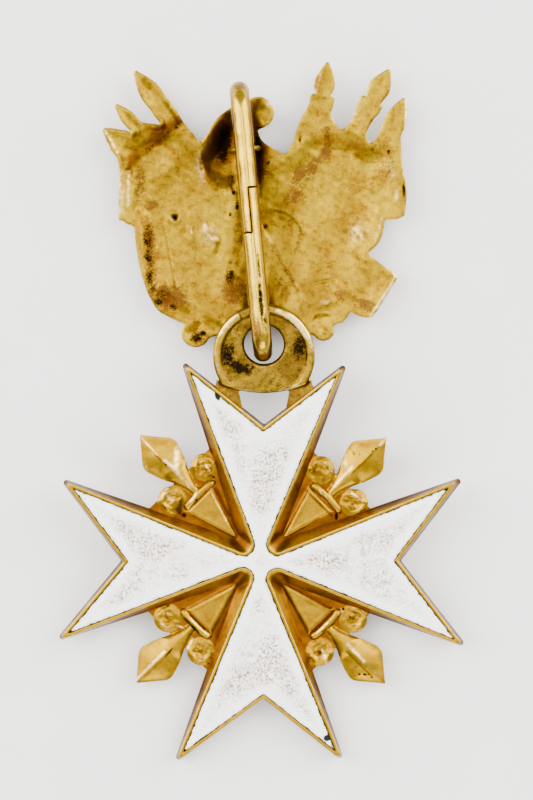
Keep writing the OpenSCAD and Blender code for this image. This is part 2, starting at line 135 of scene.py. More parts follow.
def outline_distance(points: Array, outline: Array, chunk: int = 8000) -> Array:
    """Returns the distance of each point from a closed outline, positive inside.

    The distance is to the nearest edge, and a point is inside where a ray to its right crosses an odd
    number of edges. The points are handled a chunk at a time, to save memory.
    """
    start, step = outline, np.roll(outline, -1, axis=0) - outline
    square = np.maximum((step * step).sum(1), TINY)
    rise = np.where(np.abs(step[:, 1]) < TINY, TINY, step[:, 1])
    result = np.empty(len(points))
    for low in range(0, len(points), chunk):
        part = points[low : low + chunk]
        x, y = part[:, 0:1], part[:, 1:2]
        offset = part[:, None, :] - start[None]
        along = np.clip((offset * step).sum(2) / square, 0.0, 1.0)
        gap = offset - step * along[..., None]
        near = np.sqrt((gap * gap).sum(2).min(1))
        spans = (start[:, 1] > y) != ((start + step)[:, 1] > y)
        meets = start[:, 0] + (y - start[:, 1]) / rise * step[:, 0] > x
        inside = (spans & meets).sum(1) % 2 == 1
        result[low : low + chunk] = np.where(inside, near, -near)
    return result


def corner_sides(corners: Array) -> tuple[Array, Array, Array]:
    """Returns the directions of each corner's two sides and half the angle between them."""
    u = unit(np.roll(corners, 1, axis=0) - corners)
    v = unit(np.roll(corners, -1, axis=0) - corners)
    most = 1 - 1e-6
    return u, v, np.arccos(np.clip((u * v).sum(1), -most, most)) / 2


def rounded(corners: Array, radii: Array, arc: int, run: int, held: Array) -> Array:
    """Returns a closed outline through rounded corners, each side split evenly.

    Each corner becomes an arc tangent to its two sides, so two outlines with the same number of corners
    match point for point. A held corner is first moved out by r / sin(a) - r, where a is half its
    angle, so that the middle of its arc passes through the given point.

    Args:
        corners: Corner points, shape (n, 2).
        radii: Radius of each corner.
        arc: Points on each arc.
        run: Points between two arcs.
        held: Whether each corner is held.
    """
    u, v, half = corner_sides(corners)
    corners = corners - unit(u + v) * (held * radii * (1 / np.sin(half) - 1))[:, None]
    u, v, half = corner_sides(corners)
    straight = np.stack([-u[:, 1], u[:, 0]], 1)
    bisector = unit(np.where((np.abs(u + v).sum(1) < 1e-6)[:, None], straight, u + v))
    middle = corners + bisector * (radii / np.sin(half))[:, None]
    reach = (radii / np.tan(half))[:, None]
    first, last = corners + u * reach - middle, corners + v * reach - middle
    begin = np.arctan2(first[:, 1], first[:, 0])
    sweep = np.arctan2(last[:, 1], last[:, 0]) - begin
    sweep = (sweep + math.pi) % (2 * math.pi) - math.pi
    angle = begin[:, None] + sweep[:, None] * np.linspace(0, 1, arc)
    arcs = middle[:, None] + spokes(angle) * radii[:, None, None]
    t = (np.arange(1, run + 1) / (run + 1))[None, :, None]
    runs = arcs[:, -1:] * (1 - t) + np.roll(arcs[:, :1], -1, axis=0) * t
    return np.concatenate([arcs, runs], axis=1).reshape(-1, 2)


def gradient(shape: Field, points: Array, reach: float = 0.01) -> Array:
    """Returns the unit direction in which a distance field grows, by central differences."""
    slopes = [shape(points + step) - shape(points - step) for step in np.eye(2) * reach]
    return unit(np.stack(slopes, 1))


def onto_edge(shape: Field, points: Array) -> Array:
    """Returns points moved onto the line where a distance field is nought."""
    for _ in range(2):
        points = points - gradient(shape, points) * shape(points)[:, None]
    return points


@dataclass
class Plan:
    """A triangulated region of the plane.

    Attributes:
        points: Plan points, shape (n, 2).
        faces: Triangles, anticlockwise, shape (m, 3).
    """

    points: Array
    faces: Index

    def edges(self) -> Index:
        """Returns the directed edges that only one triangle has, with the region on their left."""
        pairs = np.concatenate([self.faces[:, [i, (i + 1) % 3]] for i in range(3)])
        count = len(self.points)
        key, twin = pairs[:, 0] * count + pairs[:, 1], pairs[:, 1] * count + pairs[:, 0]
        return pairs[~np.isin(key, twin)]


def grid_faces(wide: int, high: int) -> Index:
    """Returns two triangles for each square of a grid of points, the diagonals turned in turn."""
    row, column = np.divmod(np.arange((high - 1) * (wide - 1)), wide - 1)
    a = row * wide + column
    b, c, d = a + 1, a + wide + 1, a + wide
    odd = (row + column) % 2 == 1
    first, second = [a, b, np.where(odd, d, c)], [np.where(odd, b, a), c, d]
    return np.concatenate([np.stack(first, 1), np.stack(second, 1)])


def clipped(shape: Field, grid: Array, value: Array, cut: Index) -> tuple[Array, list[Index]]:
    """Cuts triangles along the line where a distance field is nought.

    Args:
        shape: Distance field, positive inside.
        grid: Plan points.
        value: The field at each of them.
        cut: Triangles with points on both sides of the line.

    Returns:
        New points on the line, numbered on from the grid's, and the triangles on the inside.
    """
    out = value[cut] < 0
    single = out.sum(1) == 1
    lead = np.where(single, out.argmax(1), (~out).argmax(1))
    cut = np.stack([cut[np.arange(len(cut)), (lead + i) % 3] for i in range(3)], 1)
    ends = np.sort(np.concatenate([cut[:, [0, 1]], cut[:, [0, 2]]]), axis=1)
    total = len(grid)
    keys, place = np.unique(ends[:, 0] * total + ends[:, 1], return_inverse=True)
    p, q = keys // total, keys % total
    t = value[p] / (value[p] - value[q] + 1e-15)
    crossing = value[p] * value[q] < 0
    made = grid[p] + (grid[q] - grid[p]) * t[:, None]
    made[crossing] = onto_edge(shape, made[crossing])
    new = np.where(crossing, total + np.arange(len(keys)), np.where(value[p] == 0, p, q))
    one, two = new[place[: len(cut)]], new[place[len(cut) :]]
    lone = cut[single]
    return made, [
        np.stack([one[single], lone[:, 1], lone[:, 2]], 1),
        np.stack([one[single], lone[:, 2], two[single]], 1),
        np.stack([cut[~single][:, 0], one[~single], two[~single]], 1),
    ]


def trimmed_grid(shape: Field, low: Sequence[float], high: Sequence[float], cell: float) -> Plan:
    """Triangulates the region where a distance field is positive.

    A square grid is split into triangles. Grid points closer to the region's edge than a third of a
    cell move onto it, and triangles that it still crosses are cut where it does.

    Args:
        shape: Distance field, positive inside.
        low: Lowest corner of the grid.
        high: Highest corner of the grid.
        cell: Step of the grid.
    """
    xs, ys = (np.arange(low[i], high[i] + cell, cell) for i in range(2))
    grid = np.stack(np.meshgrid(xs, ys), 2).reshape(-1, 2)
    value = shape(grid)
    near = np.abs(value) < 0.32 * cell
    grid[near] = onto_edge(shape, grid[near])
    value[near] = 0.0
    faces = grid_faces(len(xs), len(ys))
    outside = (value[faces] < 0).sum(1)
    whole = faces[outside == 0]
    flat = (value[whole] == 0).all(1)
    if flat.any():
        keep = np.ones(len(whole), bool)
        keep[flat] = shape(grid[whole[flat]].mean(1)) > 0
        whole = whole[keep]
    cut = faces[(outside > 0) & (outside < 3) & (value[faces] > 0).any(1)]
    made, pieces = clipped(shape, grid, value, cut)
    tris = np.concatenate([whole, *pieces])
    points = np.concatenate([grid, made])
    a, b, c = (points[tris[:, i]] for i in range(3))
    apart = (tris[:, 0] != tris[:, 1]) & (tris[:, 1] != tris[:, 2])
    tris = tris[(wedge(b - a, c - a) > 1e-7) & apart]
    used, index = np.unique(tris, return_inverse=True)
    return Plan(points[used], index.reshape(-1, 3))


# Solids and meshes


@dataclass
class Shell:
    """A mesh under construction.

    Attributes:
        points: Vertices in millimetres, shape (n, 3).
        faces: Triangles or quads, one array for each.
        masks: Values per vertex for the materials.
    """

    points: Array
    faces: list[Index]
    masks: dict[str, Array] = field(default_factory=dict)

    def joined(self, other: "Shell") -> "Shell":
        """Returns this shell and another one as one, with absent masks set to nought."""
        count = len(self.points)
        names = set(self.masks) | set(other.masks)
        zero, none = np.zeros(count), np.zeros(len(other.points))
        masks = {
            n: np.concatenate([self.masks.get(n, zero), other.masks.get(n, none)])
            for n in names
        }
        points = np.concatenate([self.points, other.points])
        return Shell(points, self.faces + [f + count for f in other.faces], masks)

    def mesh(self, name: str, sharp: float) -> bpy.types.Object:
        """Writes the shell into a new object at the origin.

        Args:
            name: Name of the object and its mesh.
            sharp: Angle in degrees past which an edge stays sharp.
        """
        mesh = bpy.data.meshes.new(name)
        sizes = np.concatenate([np.full(len(f), f.shape[1]) for f in self.faces])
        corners = np.concatenate([f.ravel() for f in self.faces])
        mesh.vertices.add(len(self.points))
        mesh.vertices.foreach_set("co", (self.points * MM).astype(np.float32).ravel())
        mesh.loops.add(len(corners))
        mesh.loops.foreach_set("vertex_index", corners.astype(np.int32))
        mesh.polygons.add(len(sizes))
        starts = np.concatenate([[0], np.cumsum(sizes)[:-1]])
        mesh.polygons.foreach_set("loop_start", starts.astype(np.int32))
        for key, value in self.masks.items():
            layer = mesh.attributes.new(key, "FLOAT", "POINT")
            layer.data.foreach_set("value", value.astype(np.float32))
        mesh.update(calc_edges=True)
        mesh.validate()
        mesh.shade_smooth()
        mesh.set_sharp_from_angle(angle=math.radians(sharp))
        piece = bpy.data.objects.new(name, mesh)
        bpy.context.collection.objects.link(piece)
        return piece


def net(rows: int, columns: int, close_rows: bool, close_columns: bool) -> Index:
    """Returns the quads of a net of points, closed in either direction or open."""
    i = np.arange(rows if close_rows else rows - 1)[:, None]
    j = np.arange(columns if close_columns else columns - 1)[None]
    k, m = (i + 1) % rows, (j + 1) % columns
    quads = [i * columns + j, i * columns + m, k * columns + m, k * columns + j]
    return np.stack([np.broadcast_to(q, (len(i), j.size)).ravel() for q in quads], 1)


def slab(plan: Plan, top: Array, under: Array, masks: dict[str, Array]) -> Shell:
    """Returns a closed solid between two surfaces over one plan, with upright walls."""
    count = len(plan.points)
    upper = np.column_stack([plan.points, top])
    lower = np.column_stack([plan.points, under])
    edge = plan.edges()
    walls = np.stack([edge[:, 1], edge[:, 0], edge[:, 0] + count, edge[:, 1] + count], 1)
    faces = [plan.faces, plan.faces[:, ::-1] + count, walls]
    both = {key: np.concatenate([m, m]) for key, m in masks.items()}
    return Shell(np.concatenate([upper, lower]), faces, both)


def blobs(points: Array, rows: Rows) -> Array:
    """Returns the greatest of several soft oval spots at each point.

    Each spot is its strength times exp(-u^2), with u the point's distance in the oval's own half axes.

    Args:
        points: Plan points.
        rows: Columns are x, y, half length, half width, turn in degrees, strength.
    """
    result = np.zeros(len(points))
    for x, y, length, width, turn, strength in rows:
        q = turned(points - np.array([x, y]), -turn) / np.array([length, width])
        result = np.maximum(result, strength * np.exp(-(q * q).sum(1)))
    return result


def strokes(points: Array, rows: Rows) -> Array:
    """Returns the sum of soft straight strokes at each point.

    Each stroke is its strength times exp(-(d/w)^2), with d the distance from the stroke's segment.

    Args:
        points: Plan points.
        rows: Columns are start x, start y, end x, end y, width w, strength.
    """
    result = np.zeros(len(points))
    for x0, y0, x1, y1, width, strength in rows:
        step = np.array([x1 - x0, y1 - y0])
        offset = points - np.array([x0, y0])
        t = np.clip(offset @ step / (step @ step), 0, 1)
        result += strength * bell(distance(offset, t[:, None] * step), width)
    return result


def steps(points: Array, rows: Rows) -> Array:
    """Returns the sum of soft steps down to the right of straight lines, fading past their ends.

    Args:
        points: Plan points.
        rows: Columns are start x, start y, end x, end y, softness, fade, drop.
    """
    result = np.zeros(len(points))
    for x0, y0, x1, y1, soft, fade, drop in rows:
        length = math.hypot(x1 - x0, y1 - y0)
        along = np.array([x1 - x0, y1 - y0]) / length
        offset = points - np.array([x0, y0])
        t = offset @ along
        side = offset @ np.array([along[1], -along[0]])
        past = np.maximum(np.maximum(-t, t - length), 0)
        result += drop * smooth(side / soft + 0.5) * bell(past, fade) * bell(np.maximum(side, 0), fade)
    return result


def ripple(points: Array, scale: float, seed: int) -> Array:
    """Returns gentle waves of about unit height: eight sine waves of random direction and phase."""
    draw, count = np.random.default_rng(seed), 8
    angle = draw.uniform(0, 2 * math.pi, count)
    rate = draw.uniform(0.6, 1.6, count) * 2 * math.pi / scale
    phase = draw.uniform(0, 2 * math.pi, count)
    return np.sin(points @ spokes(angle).T * rate + phase).sum(1) / math.sqrt(count)


def waves(points: Array, rows: Rows) -> Array:
    """Returns a sum of ripples. Columns of the rows are height, scale and seed."""
    return sum(height * ripple(points, scale, seed) for height, scale, seed in rows)


# Where things lie


@dataclass(frozen=True)
class Layout:
    """Sizes that several pieces share, in the source's words, and the places worked out from them.

    Attributes:
        reach: Reach of the cross's longest arm.
        thick: Thickness over the cross's rims.
        edge_band: Height of the upright band at the cross's outer edge.
        eye_r: Radius of the suspension eye, and hole_r of its hole.
        eye_thick: Thickness of the eye.
        loop_l: Length of the ribbon loop, wire_d the diameter of its wire.
        lean: Turn of the loop in degrees.
        trophy_w: Width of the trophy, trophy_h its height, and wall the thickness of its wall.
        edge_z: Height of the trophy's back edge, which dips by dip under the loop.
        touch: Gap between pieces that rest on each other.
        loop_pass: Rise of the loop's foot over the low side of the eye's hole.
        rest_at: Where the lower arm rests on the floor, as a share of the reach.
        left, right, down: Ends of those arms, as shares of the reach.
    """

    reach: float = 27.2
    thick: float = 3.2
    edge_band: float = 0.7
    eye_r: float = 6.8
    hole_r: float = 2.65
    eye_thick: float = 2.8
    loop_l: float = 37.5
    wire_d: float = 2.6
    lean: float = 5.2
    trophy_w: float = 40.8
    trophy_h: float = 38.2
    wall: float = 0.8
    edge_z: float = 3.6
    dip: float = 1.05
    touch: float = 0.15
    loop_pass: float = 0.3
    rest_at: float = 0.97
    left: float = 0.985
    right: float = 1.0
    down: float = 0.984

    @property
    def eye(self) -> Array:
        """Centre of the eye in the cross's frame."""
        return np.array([0.02, 1.013]) * self.reach

    @property
    def hole(self) -> Array:
        """Centre of the eye's hole in the cross's frame."""
        return np.array([0.02, 1.066]) * self.reach

    @property
    def far_z(self) -> float:
        """Height of the loop's far strand."""
        return self.edge_z - self.dip + self.touch + self.wire_d / 2

    @property
    def tilt(self) -> float:
        """Tilt of the cross in radians: its eye rests on the far strand, its foot on the floor."""
        rest = self.far_z + self.wire_d / 2 + self.touch
        run = self.rest_at * self.reach + self.hole[1] + self.hole_r
        return math.asin((rest - (self.thick - self.eye_thick) / 2) / run)

    @property
    def cross_z(self) -> float:
        """Height of the cross's centre."""
        half = self.thick / 2 * math.cos(self.tilt)
        return half + self.rest_at * self.reach * math.sin(self.tilt)

    @property
    def near_z(self) -> float:
        """Height of the loop's near strand, which clears the eye's top."""
        top = self.cross_z + (self.eye[1] + self.eye_r) * math.sin(self.tilt)
        top += self.eye_thick / 2 * math.cos(self.tilt)
        return top + self.touch + self.wire_d / 2

    @property
    def trophy(self) -> Array:
        """Middle of the trophy's foot, from the cross's centre."""
        rise = self.eye[1] * math.cos(self.tilt) + 0.027 * self.trophy_h
        return np.array([-0.013 * self.trophy_w, rise])

    @property
    def shift(self) -> Array:
        """Place of the cross's centre in the badge's frame."""
        foot = self.down * self.reach * math.cos(self.tilt)
        top = self.trophy[1] + self.trophy_h
        return np.array([(self.left - self.right) * self.reach / 2, (foot - top) / 2])

    def from_cross(self, points: Array) -> Array:
        """Returns points of the cross's frame in the badge's frame: tilted, then moved."""
        x, y, z = points.T
        c, s = math.cos(self.tilt), math.sin(self.tilt)
        across, up = self.shift
        return np.column_stack([x + across, y * c - z * s + up, y * s + z * c + self.cross_z])

    def from_loop(self, points: Array) -> Array:
        """Returns points of the loop's upright frame in the badge's frame."""
        foot = (self.hole[1] - self.hole_r) * math.cos(self.tilt) + self.loop_pass
        plan = turned(points[:, :2], self.lean) + self.shift + np.array([self.eye[0], foot])
        return np.column_stack([plan, points[:, 2] + (self.near_z + self.far_z) / 2])


LAYOUT = Layout()


def dressed(
    shell: Shell, name: str, sharp: float, finish: bpy.types.Material
) -> bpy.types.Object:
    """Makes a piece of the badge, gives it its finish and fixes it to the badge's body."""
    piece = shell.mesh(name, sharp)
    piece.data.materials.append(finish)
    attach(piece, "root")
    log.info("%s: %d faces", name, len(piece.data.polygons))
    return piece


# Marks read from the photograph


@dataclass(frozen=True)
class View:
    """The photograph's plan: its scale in pixels per mm, and the pixel over the badge's origin."""

    scale: float = 7.5
    middle: tuple[float, float] = (261.4, 410.75)

    def place(self, pixels: Array) -> Array:
        """Returns plan points in millimetres under pixels, given as across and down."""
        return (pixels - np.array(self.middle)) / self.scale * np.array([1, -1])

    def spots(self, rows: Rows, origin: Array) -> Array:
        """Returns rows of spots, with place and half sizes in pixels, in millimetres from origin."""
        table = np.array(rows, dtype=float)
        table[:, :2] = self.place(table[:, :2]) - origin
        table[:, 2:4] /= self.scale
        return table

    def lines(self, rows: Rows, origin: Array) -> Array:
        """Returns rows of strokes, with ends and width in pixels, in millimetres from origin."""
        table = np.array(rows, dtype=float)
        table[:, :2] = self.place(table[:, :2]) - origin
        table[:, 2:4] = self.place(table[:, 2:4]) - origin
        table[:, 4] /= self.scale
        return table


VIEW = View()


# The cross


# Chips in the enamel's edge. Columns: across and down in pixels, half length and half width in pixels,
# turn, strength.
CHIPS = (
    (217.5, 394.5, 4.8, 2.6, -70, 1.2), (327.5, 738.5, 4.0, 3.2, 20, 1.3),
    (74.0, 486.5, 3.4, 1.8, -40, 0.9), (253.0, 424.0, 2.2, 1.2, -30, 0.7),
    (381.5, 547.5, 2.4, 1.2, 30, 0.6),
)


@dataclass(frozen=True)
class EnamelledCross:
    """The eight-pointed cross: metal rims round a field of white enamel on either face.

    Attributes:
        edges: Outer corners of each arm as shares of the reach. Columns are turn, left side, left along,
            right side, right along, notch side, notch along.
        enamels: The enamel's corners in the same columns.
        enamel_meet: Where the enamel's flanks meet on an angle's axis, as a share of the reach.
        edge_meet: The same for the outer flanks.
        enamel_r: Radii of the enamel's tips, notches and inner corners.
        edge_r: The same for the outer outline.
        lip_w: Width of the flat lip round the enamel.
        ease: Rounding of the lip's edge.
        recess: Depth of the enamel's recess.
        gap: Clear gap round the enamel.
        glaze: Depth of the glaze under the lip, then depth and width of the rounding at its edge.
        chip: Depth of a chip.
        uneven: Waves of the rims, and glaze_uneven those of the glaze, as height, scale and seed.
        fall: Places on the flank as shares of its width, and drop as shares of its height.
        arc: Points round a corner, and run between two corners.
    """

    edges: Rows = (
        (0, -0.373, 0.971, 0.416, 0.961, 0.022, 0.674),
        (-90, -0.400, 0.985, 0.414, 1.000, 0.000, 0.695),
        (180, -0.400, 0.976, 0.408, 0.984, -0.015, 0.684),
        (90, -0.384, 0.985, 0.393, 0.963, 0.000, 0.684),
    )
    enamels: Rows = (
        (0, -0.336, 0.926, 0.371, 0.910, 0.018, 0.643),
        (-90, -0.361, 0.920, 0.379, 0.949, -0.006, 0.660),
        (180, -0.368, 0.931, 0.373, 0.937, -0.018, 0.656),
        (90, -0.349, 0.934, 0.358, 0.911, 0.000, 0.648),
    )
    enamel_meet: float = -0.021
    edge_meet: float = 0.152
    enamel_r: tuple[float, float, float] = (0.1, 0.2, 1.5)
    edge_r: tuple[float, float, float] = (0.4, 0.3, 0.5)
    lip_w: float = 0.43
    ease: float = 0.05
    recess: float = 0.7
    gap: float = 0.06
    glaze: tuple[float, float, float] = (0.045, 0.1, 0.14)
    chip: float = 0.22
    uneven: Rows = ((0.02, 5.0, 3),)
    glaze_uneven: Rows = ((0.012, 3.1, 7),)
    fall: tuple[float, ...] = (0.0, 0.05, 0.14, 0.28, 0.44, 0.6, 0.76, 0.9, 0.97)
    drop: tuple[float, ...] = (0.0, 0.06, 0.17, 0.33, 0.5, 0.67, 0.83, 0.95, 1.0)
    arc: int = 9
    run: int = 64

    def outline(self, rows: Rows, meet: float, radii: tuple[float, float, float]) -> Array:
        """Returns a clockwise outline of the cross, with rounded tips, notches and inner corners."""
        corners: list[Array] = []
        for turn, *values in rows:
            left, right, notch = values[0:2], values[2:4], values[4:6]
            corners.append(turned(np.array([left, notch, right]), turn))
            corners.append(turned(np.array([[0.0, meet]]), turn - 45))
        points = np.concatenate(corners) * LAYOUT.reach
        tip, notch, inner = radii
        held = np.tile([1.0, 1.0, 1.0, 0.0], len(rows))
        return rounded(points, np.tile([tip, notch, tip, inner], len(rows)), self.arc, self.run, held)

    @property
    def enamel_line(self) -> Array:
        """Outline of the recess for the enamel."""
        return self.outline(self.enamels, self.enamel_meet, self.enamel_r)

    @property
    def edge_line(self) -> Array:
        """Outer outline of the rims."""
        return self.outline(self.edges, self.edge_meet, self.edge_r)

    def lip_share(self, inner: Array, outer: Array) -> Array:
        """Returns the share of the way across the rim at which its flat lip ends.

        On the straight runs and round the inner corners it is the lip's width over the rim's width at a
        right angle to the enamel's edge. Round the tips and notches it goes evenly from one run's
        share to the next one's.
        """
        along = unit(np.roll(inner, -1, axis=0) - np.roll(inner, 1, axis=0))
        width = wedge(along, outer - inner)
        share = np.clip(self.lip_w / np.maximum(width, 0.1), 0.05, 0.72)
        share = share.reshape(-1, self.arc + self.run)
        before, after = np.roll(share[:, -2], 1)[:, None], share[:, self.arc + 1][:, None]
        t = np.linspace(0, 1, self.arc)[None]
        corner = (np.arange(len(share)) % 4 != 3)[:, None]
        share[:, : self.arc] = np.where(corner, before * (1 - t) + after * t, share[:, : self.arc])
        return share.ravel()

    def section(self, lip: Array) -> tuple[Array, Array]:
        """Returns the upper half of the rim's section, from the enamel out.

        Args:
            lip: Share of the way across the rim at which the lip ends, at each point round the cross.

        Returns:
            The share of the way across for each row and point, and the height of each row.
        """
        top, low = LAYOUT.thick / 2, LAYOUT.edge_band / 2
        shares = [lip * share for share in (0, 0, 0.12, 0.5, 0.88)]
        shares += [lip + (1 - lip) * share for share in self.fall] + [np.ones_like(lip)]
        heights = [top - self.recess, top - self.ease, top - self.ease / 5, top, top - self.ease / 5]
        flank = top - self.ease - (top - self.ease - low) * np.array(self.drop)
        return np.array(shares), np.array([*heights, *flank, low - 0.12])

    def rims(self) -> Shell:
        """Returns the metal body: for each row of the rim's section, a ring between the two outlines.

        A ring's plan is inner + (outer - inner) * t, where t goes from 0 at the enamel over the lip's
        share to 1 at the outer edge, and its height falls from the lip to the edge band.
        """
        inner, outer = self.enamel_line, self.edge_line
        shares, heights = self.section(self.lip_share(inner, outer))
        plan = inner + (outer - inner) * shares[..., None]
        rise = np.broadcast_to(heights[:, None], plan.shape[:2])
        wear = waves(plan.reshape(-1, 2), self.uneven).reshape(rise.shape)
        rise = rise + wear * np.clip((rise - LAYOUT.edge_band / 2) * 4, 0, 1)
        back = np.concatenate([plan, rise[..., None]], 2)
        rings = np.concatenate([back, back[::-1] * np.array([1, 1, -1])])
        rows, columns = rings.shape[:2]
        cap = self.cap(inner)
        faces = [net(rows, columns, False, True), cap, cap[:, ::-1] + (rows - 1) * columns]
        return Shell(rings.reshape(-1, 3), faces, self.wear_masks(rings))

    def wear_masks(self, rings: Array) -> dict[str, Array]:
        """Returns the rims' masks: a dark line along the recess, painted shade in the recess, on the
        flanks, at the inner corners and towards the arm ends, and lips bright from wear and painted
        highlight.

        Args:
            rings: Points of the rims, shape (rows, columns, 3).
        """
        rows, columns = rings.shape[:2]
        # Painted shade in the recess and down the flanks.
        hollow = np.array([0.9, 0.5, 0, 0, 0, *self.drop, 1.0])
        hollow = np.concatenate([hollow, hollow[::-1]])
        crevice, worn = np.zeros(rows), np.zeros(rows)
        crevice[[0, 1, 2, -3, -2, -1]] = [1, 1, 0.45, 0.45, 1, 1]
        # Lips: painted highlight, with bright wear.
        worn[[3, 4, 5, -6, -5, -4]] = [0.1, 0.35, 0.1, 0.1, 0.35, 0.1]
        out = distance(rings[..., :2], np.zeros(2))
        # Painted shade at the inner corners and towards the arm ends.
        middle = np.minimum(2.2 * bell(out - 3.2, 1.5) * np.sqrt(hollow)[:, None], 0.88)
        ends = 0.85 * smooth((out - 15) / 4) * np.sqrt(hollow)[:, None]
        masks = {"hollow": hollow, "crevice": crevice, "worn": worn}
        masks = {key: np.repeat(value, columns) for key, value in masks.items()}
        return {**masks, "shade": np.maximum(middle, ends).ravel()}

    @staticmethod
    def cap(outline: Array) -> Index:
        """Returns triangles over an outline, facing up."""
        ring = [(float(x), float(y), 0.0) for x, y in outline]
        faces = np.array(tessellate_polygon([ring]), dtype=np.int64)
        a, b, c = (outline[faces[:, i]] for i in range(3))
        down = wedge(b - a, c - a) < 0
        faces[down] = faces[down][:, ::-1]
        return faces

    def enamel(self, face: Face, cell: float) -> Shell:
        """Returns one face's enamel: a slab with an eased edge, a faintly wavy surface and chips.

        Its height is the lip's, less a small step, less a fall exp(-(d/w)^2) at the distance d from
        its edge, plus gentle waves, less the chips that the photograph shows.
        """
        line, reach = self.enamel_line, LAYOUT.reach

        def inside(points: Array) -> Array:
            return outline_distance(points, line) - self.gap

        plan = trimmed_grid(inside, (-reach, -reach), (reach, reach), cell)
        edge = np.maximum(inside(plan.points), 0)
        chips = blobs(plan.points, VIEW.spots(CHIPS, LAYOUT.shift)) if face is Face.BACK else edge * 0
        step, round_h, round_w = self.glaze
        top = LAYOUT.thick / 2 - step - round_h * bell(edge, round_w)
        top += waves(plan.points, self.glaze_uneven) - self.chip * chips
        under = np.full_like(top, LAYOUT.thick / 2 - self.recess + 0.02)
        shell = slab(plan, top, under, {"edge": edge, "chip": chips})
        shell.points[:, 2] *= face.value
        return shell


@dataclass(frozen=True)
class LilyAngle:
    """The relief in one angle of the cross: a web with a raised triangle, and a fleur-de-lis.

    Plan points are (w, r): w across the angle's axis and r outwards from the cross's centre.

    Attributes:
        turn: Turn of the angle's axis, anticlockwise from the badge's top.
        sideways: Shift of the fleur across the axis, and outward its shift along it.
        marks: Glints, shades and pits on it, by mask, as strokes in millimetres.
        reach: Reach of the middle petal, petal_half its half width and petal_thick its thickness.
        web_thick: Thickness of the web, and panel_thick over its raised triangle.
        panel: Inner tip and outer end of the triangle, and its half width at the end over its length.
        curl_r: Radius of a curled petal to its roll, and roll_r from there out.
        tie_l: Length of the tie, and tie_d its thickness.
        web_from: Start of the web's wedge, web_to its end over the reach, web_angle half its angle.
        lobe_at: Middle of the right curled petal, as shares of petal_half and of the reach.
        tie_at: Place of the tie as a share of the reach, and tie_bow its bow.
        roll: Rise of the curled petal's roll, its distance from the middle and its width.
        knob: Spot raised in the curled petal, and dent the spot sunk in it.
        crumple: Waves of the curled petals, and uneven those of the whole, as height, scale and seed.
        blend: Sharpness of the forms' soft maximum, per millimetre.
        petal: Columns are r as a share of the fleur's reach, half width as a share of the petal's half
            width and ridge height as a share of half its thickness.
    """

    turn: float
    sideways: float
    outward: float
    marks: dict[str, Rows]
    reach: float = 23.3
    petal_half: float = 2.85
    petal_thick: float = 2.1
    web_thick: float = 0.7
    panel_thick: float = 1.3
    panel: tuple[float, float, float] = (4.75, 11.35, 2.0 / 6.6)
    curl_r: float = 1.1
    roll_r: float = 0.72
    tie_l: float = 5.4
    tie_d: float = 0.8
    web_from: float = 3.3
    web_to: float = 0.66
    web_angle: float = 24.0
    lobe_at: tuple[float, float] = (1.1, 0.612)
    tie_at: float = 0.517
    tie_bow: float = 0.28
    roll: tuple[float, float, float] = (0.26, 1.2, 0.32)
    knob: Rows = ((0.1, -0.35, 0.45, 0.45, 0, 0.1),)
    dent: Rows = ((-0.1, 0.3, 0.5, 0.5, 0, 0.14),)
    crumple: Rows = ((0.05, 1.3, 13), (0.022, 0.7, 14))
    uneven: Rows = ((0.014, 2.3, 11),)
    blend: float = 14.0
    petal: Rows = (
        (0.53, 0.17, 0.7), (0.6, 0.25, 0.9), (0.68, 0.5, 0.97), (0.73, 0.72, 1), (0.78, 0.87, 1),
        (0.83, 0.99, 0.95), (0.865, 0.95, 0.86), (0.93, 0.5, 0.62), (1, 0.03, 0.3),
    )

    def fleur_points(self, points: Array) -> Array:
        """Returns the points as the fleur sees them, before its shift."""
        return points - np.array([self.sideways, self.outward])

    def from_lobe(self, q: Array) -> Array:
        """Returns the fleur's points from the middle of the curled petal on their side."""
        return mirrored(q) - np.array(self.lobe_at) * np.array([self.petal_half, self.reach])

    def curl_inside(self, q: Array) -> Array:
        """Returns the distance inside the curled petals' round outlines."""
        return self.curl_r + self.roll_r - np.linalg.norm(self.from_lobe(q), axis=1)

    def petal_inside(self, q: Array) -> Array:
        """Returns the distance from the middle petal's side, across the axis and positive inside."""
        return self.petal_width(q[:, 1]) - np.abs(q[:, 0])

    def petal_width(self, r: Array) -> Array:
        """Returns the middle petal's half width at r, through the table's rows by a smooth curve."""
        place, width, _ = np.array(self.petal).T
        fine, ease = np.linspace(place[0], place[-1], 200), 10
        kernel = np.hanning(2 * ease + 1) / np.hanning(2 * ease + 1).sum()
        padded = np.pad(np.interp(fine, place, width), ease, mode="edge")
        t = r / self.reach
        value = np.interp(t, fine, np.convolve(padded, kernel, mode="valid")) * self.petal_half
        past = np.abs(t - np.clip(t, place[0], 1))
        return np.where(past > 0, -past * 20, value)

    def web_line(self) -> Array:
        """Returns the web's outline: a wedge that ends between the arms' flanks."""
        end = self.web_to * self.reach
        half = end * math.tan(math.radians(self.web_angle))
        return np.array([[0.0, self.web_from], [half, end], [-half, end]])

    def inside(self, points: Array) -> Array:
        """Returns the distance inside the relief: the greatest of the web's and the fleur's."""
        q = self.fleur_points(points)
        web = outline_distance(points, self.web_line())
        return np.maximum(np.maximum(web, self.curl_inside(q)), self.petal_inside(q) * 0.85)

    def height(self, points: Array) -> tuple[Array, Array]:
        """Returns the relief's height over the cross's middle plane and how far a point lies sunk.

        The height is a soft maximum of the web, the raised triangle with its border, the tie, the
        rolls of the curled petals and the ridged middle petal.
        """
        q = self.fleur_points(points)
        forms = np.stack([self.web(points), self.tie(q), self.curls(q), self.middle(q)])
        rise = np.log(np.exp(self.blend * forms).sum(0)) / self.blend
        sunk = np.clip(1.0 - (rise - self.web_thick / 2) / 0.38, 0, 1)
        petal = smooth(self.petal_inside(q) / 0.3 + 1.0)
        curl = smooth(self.curl_inside(q) / 0.3 + 1.0)
        return rise, sunk * (1 - 0.85 * petal) * (1 - 0.6 * curl)

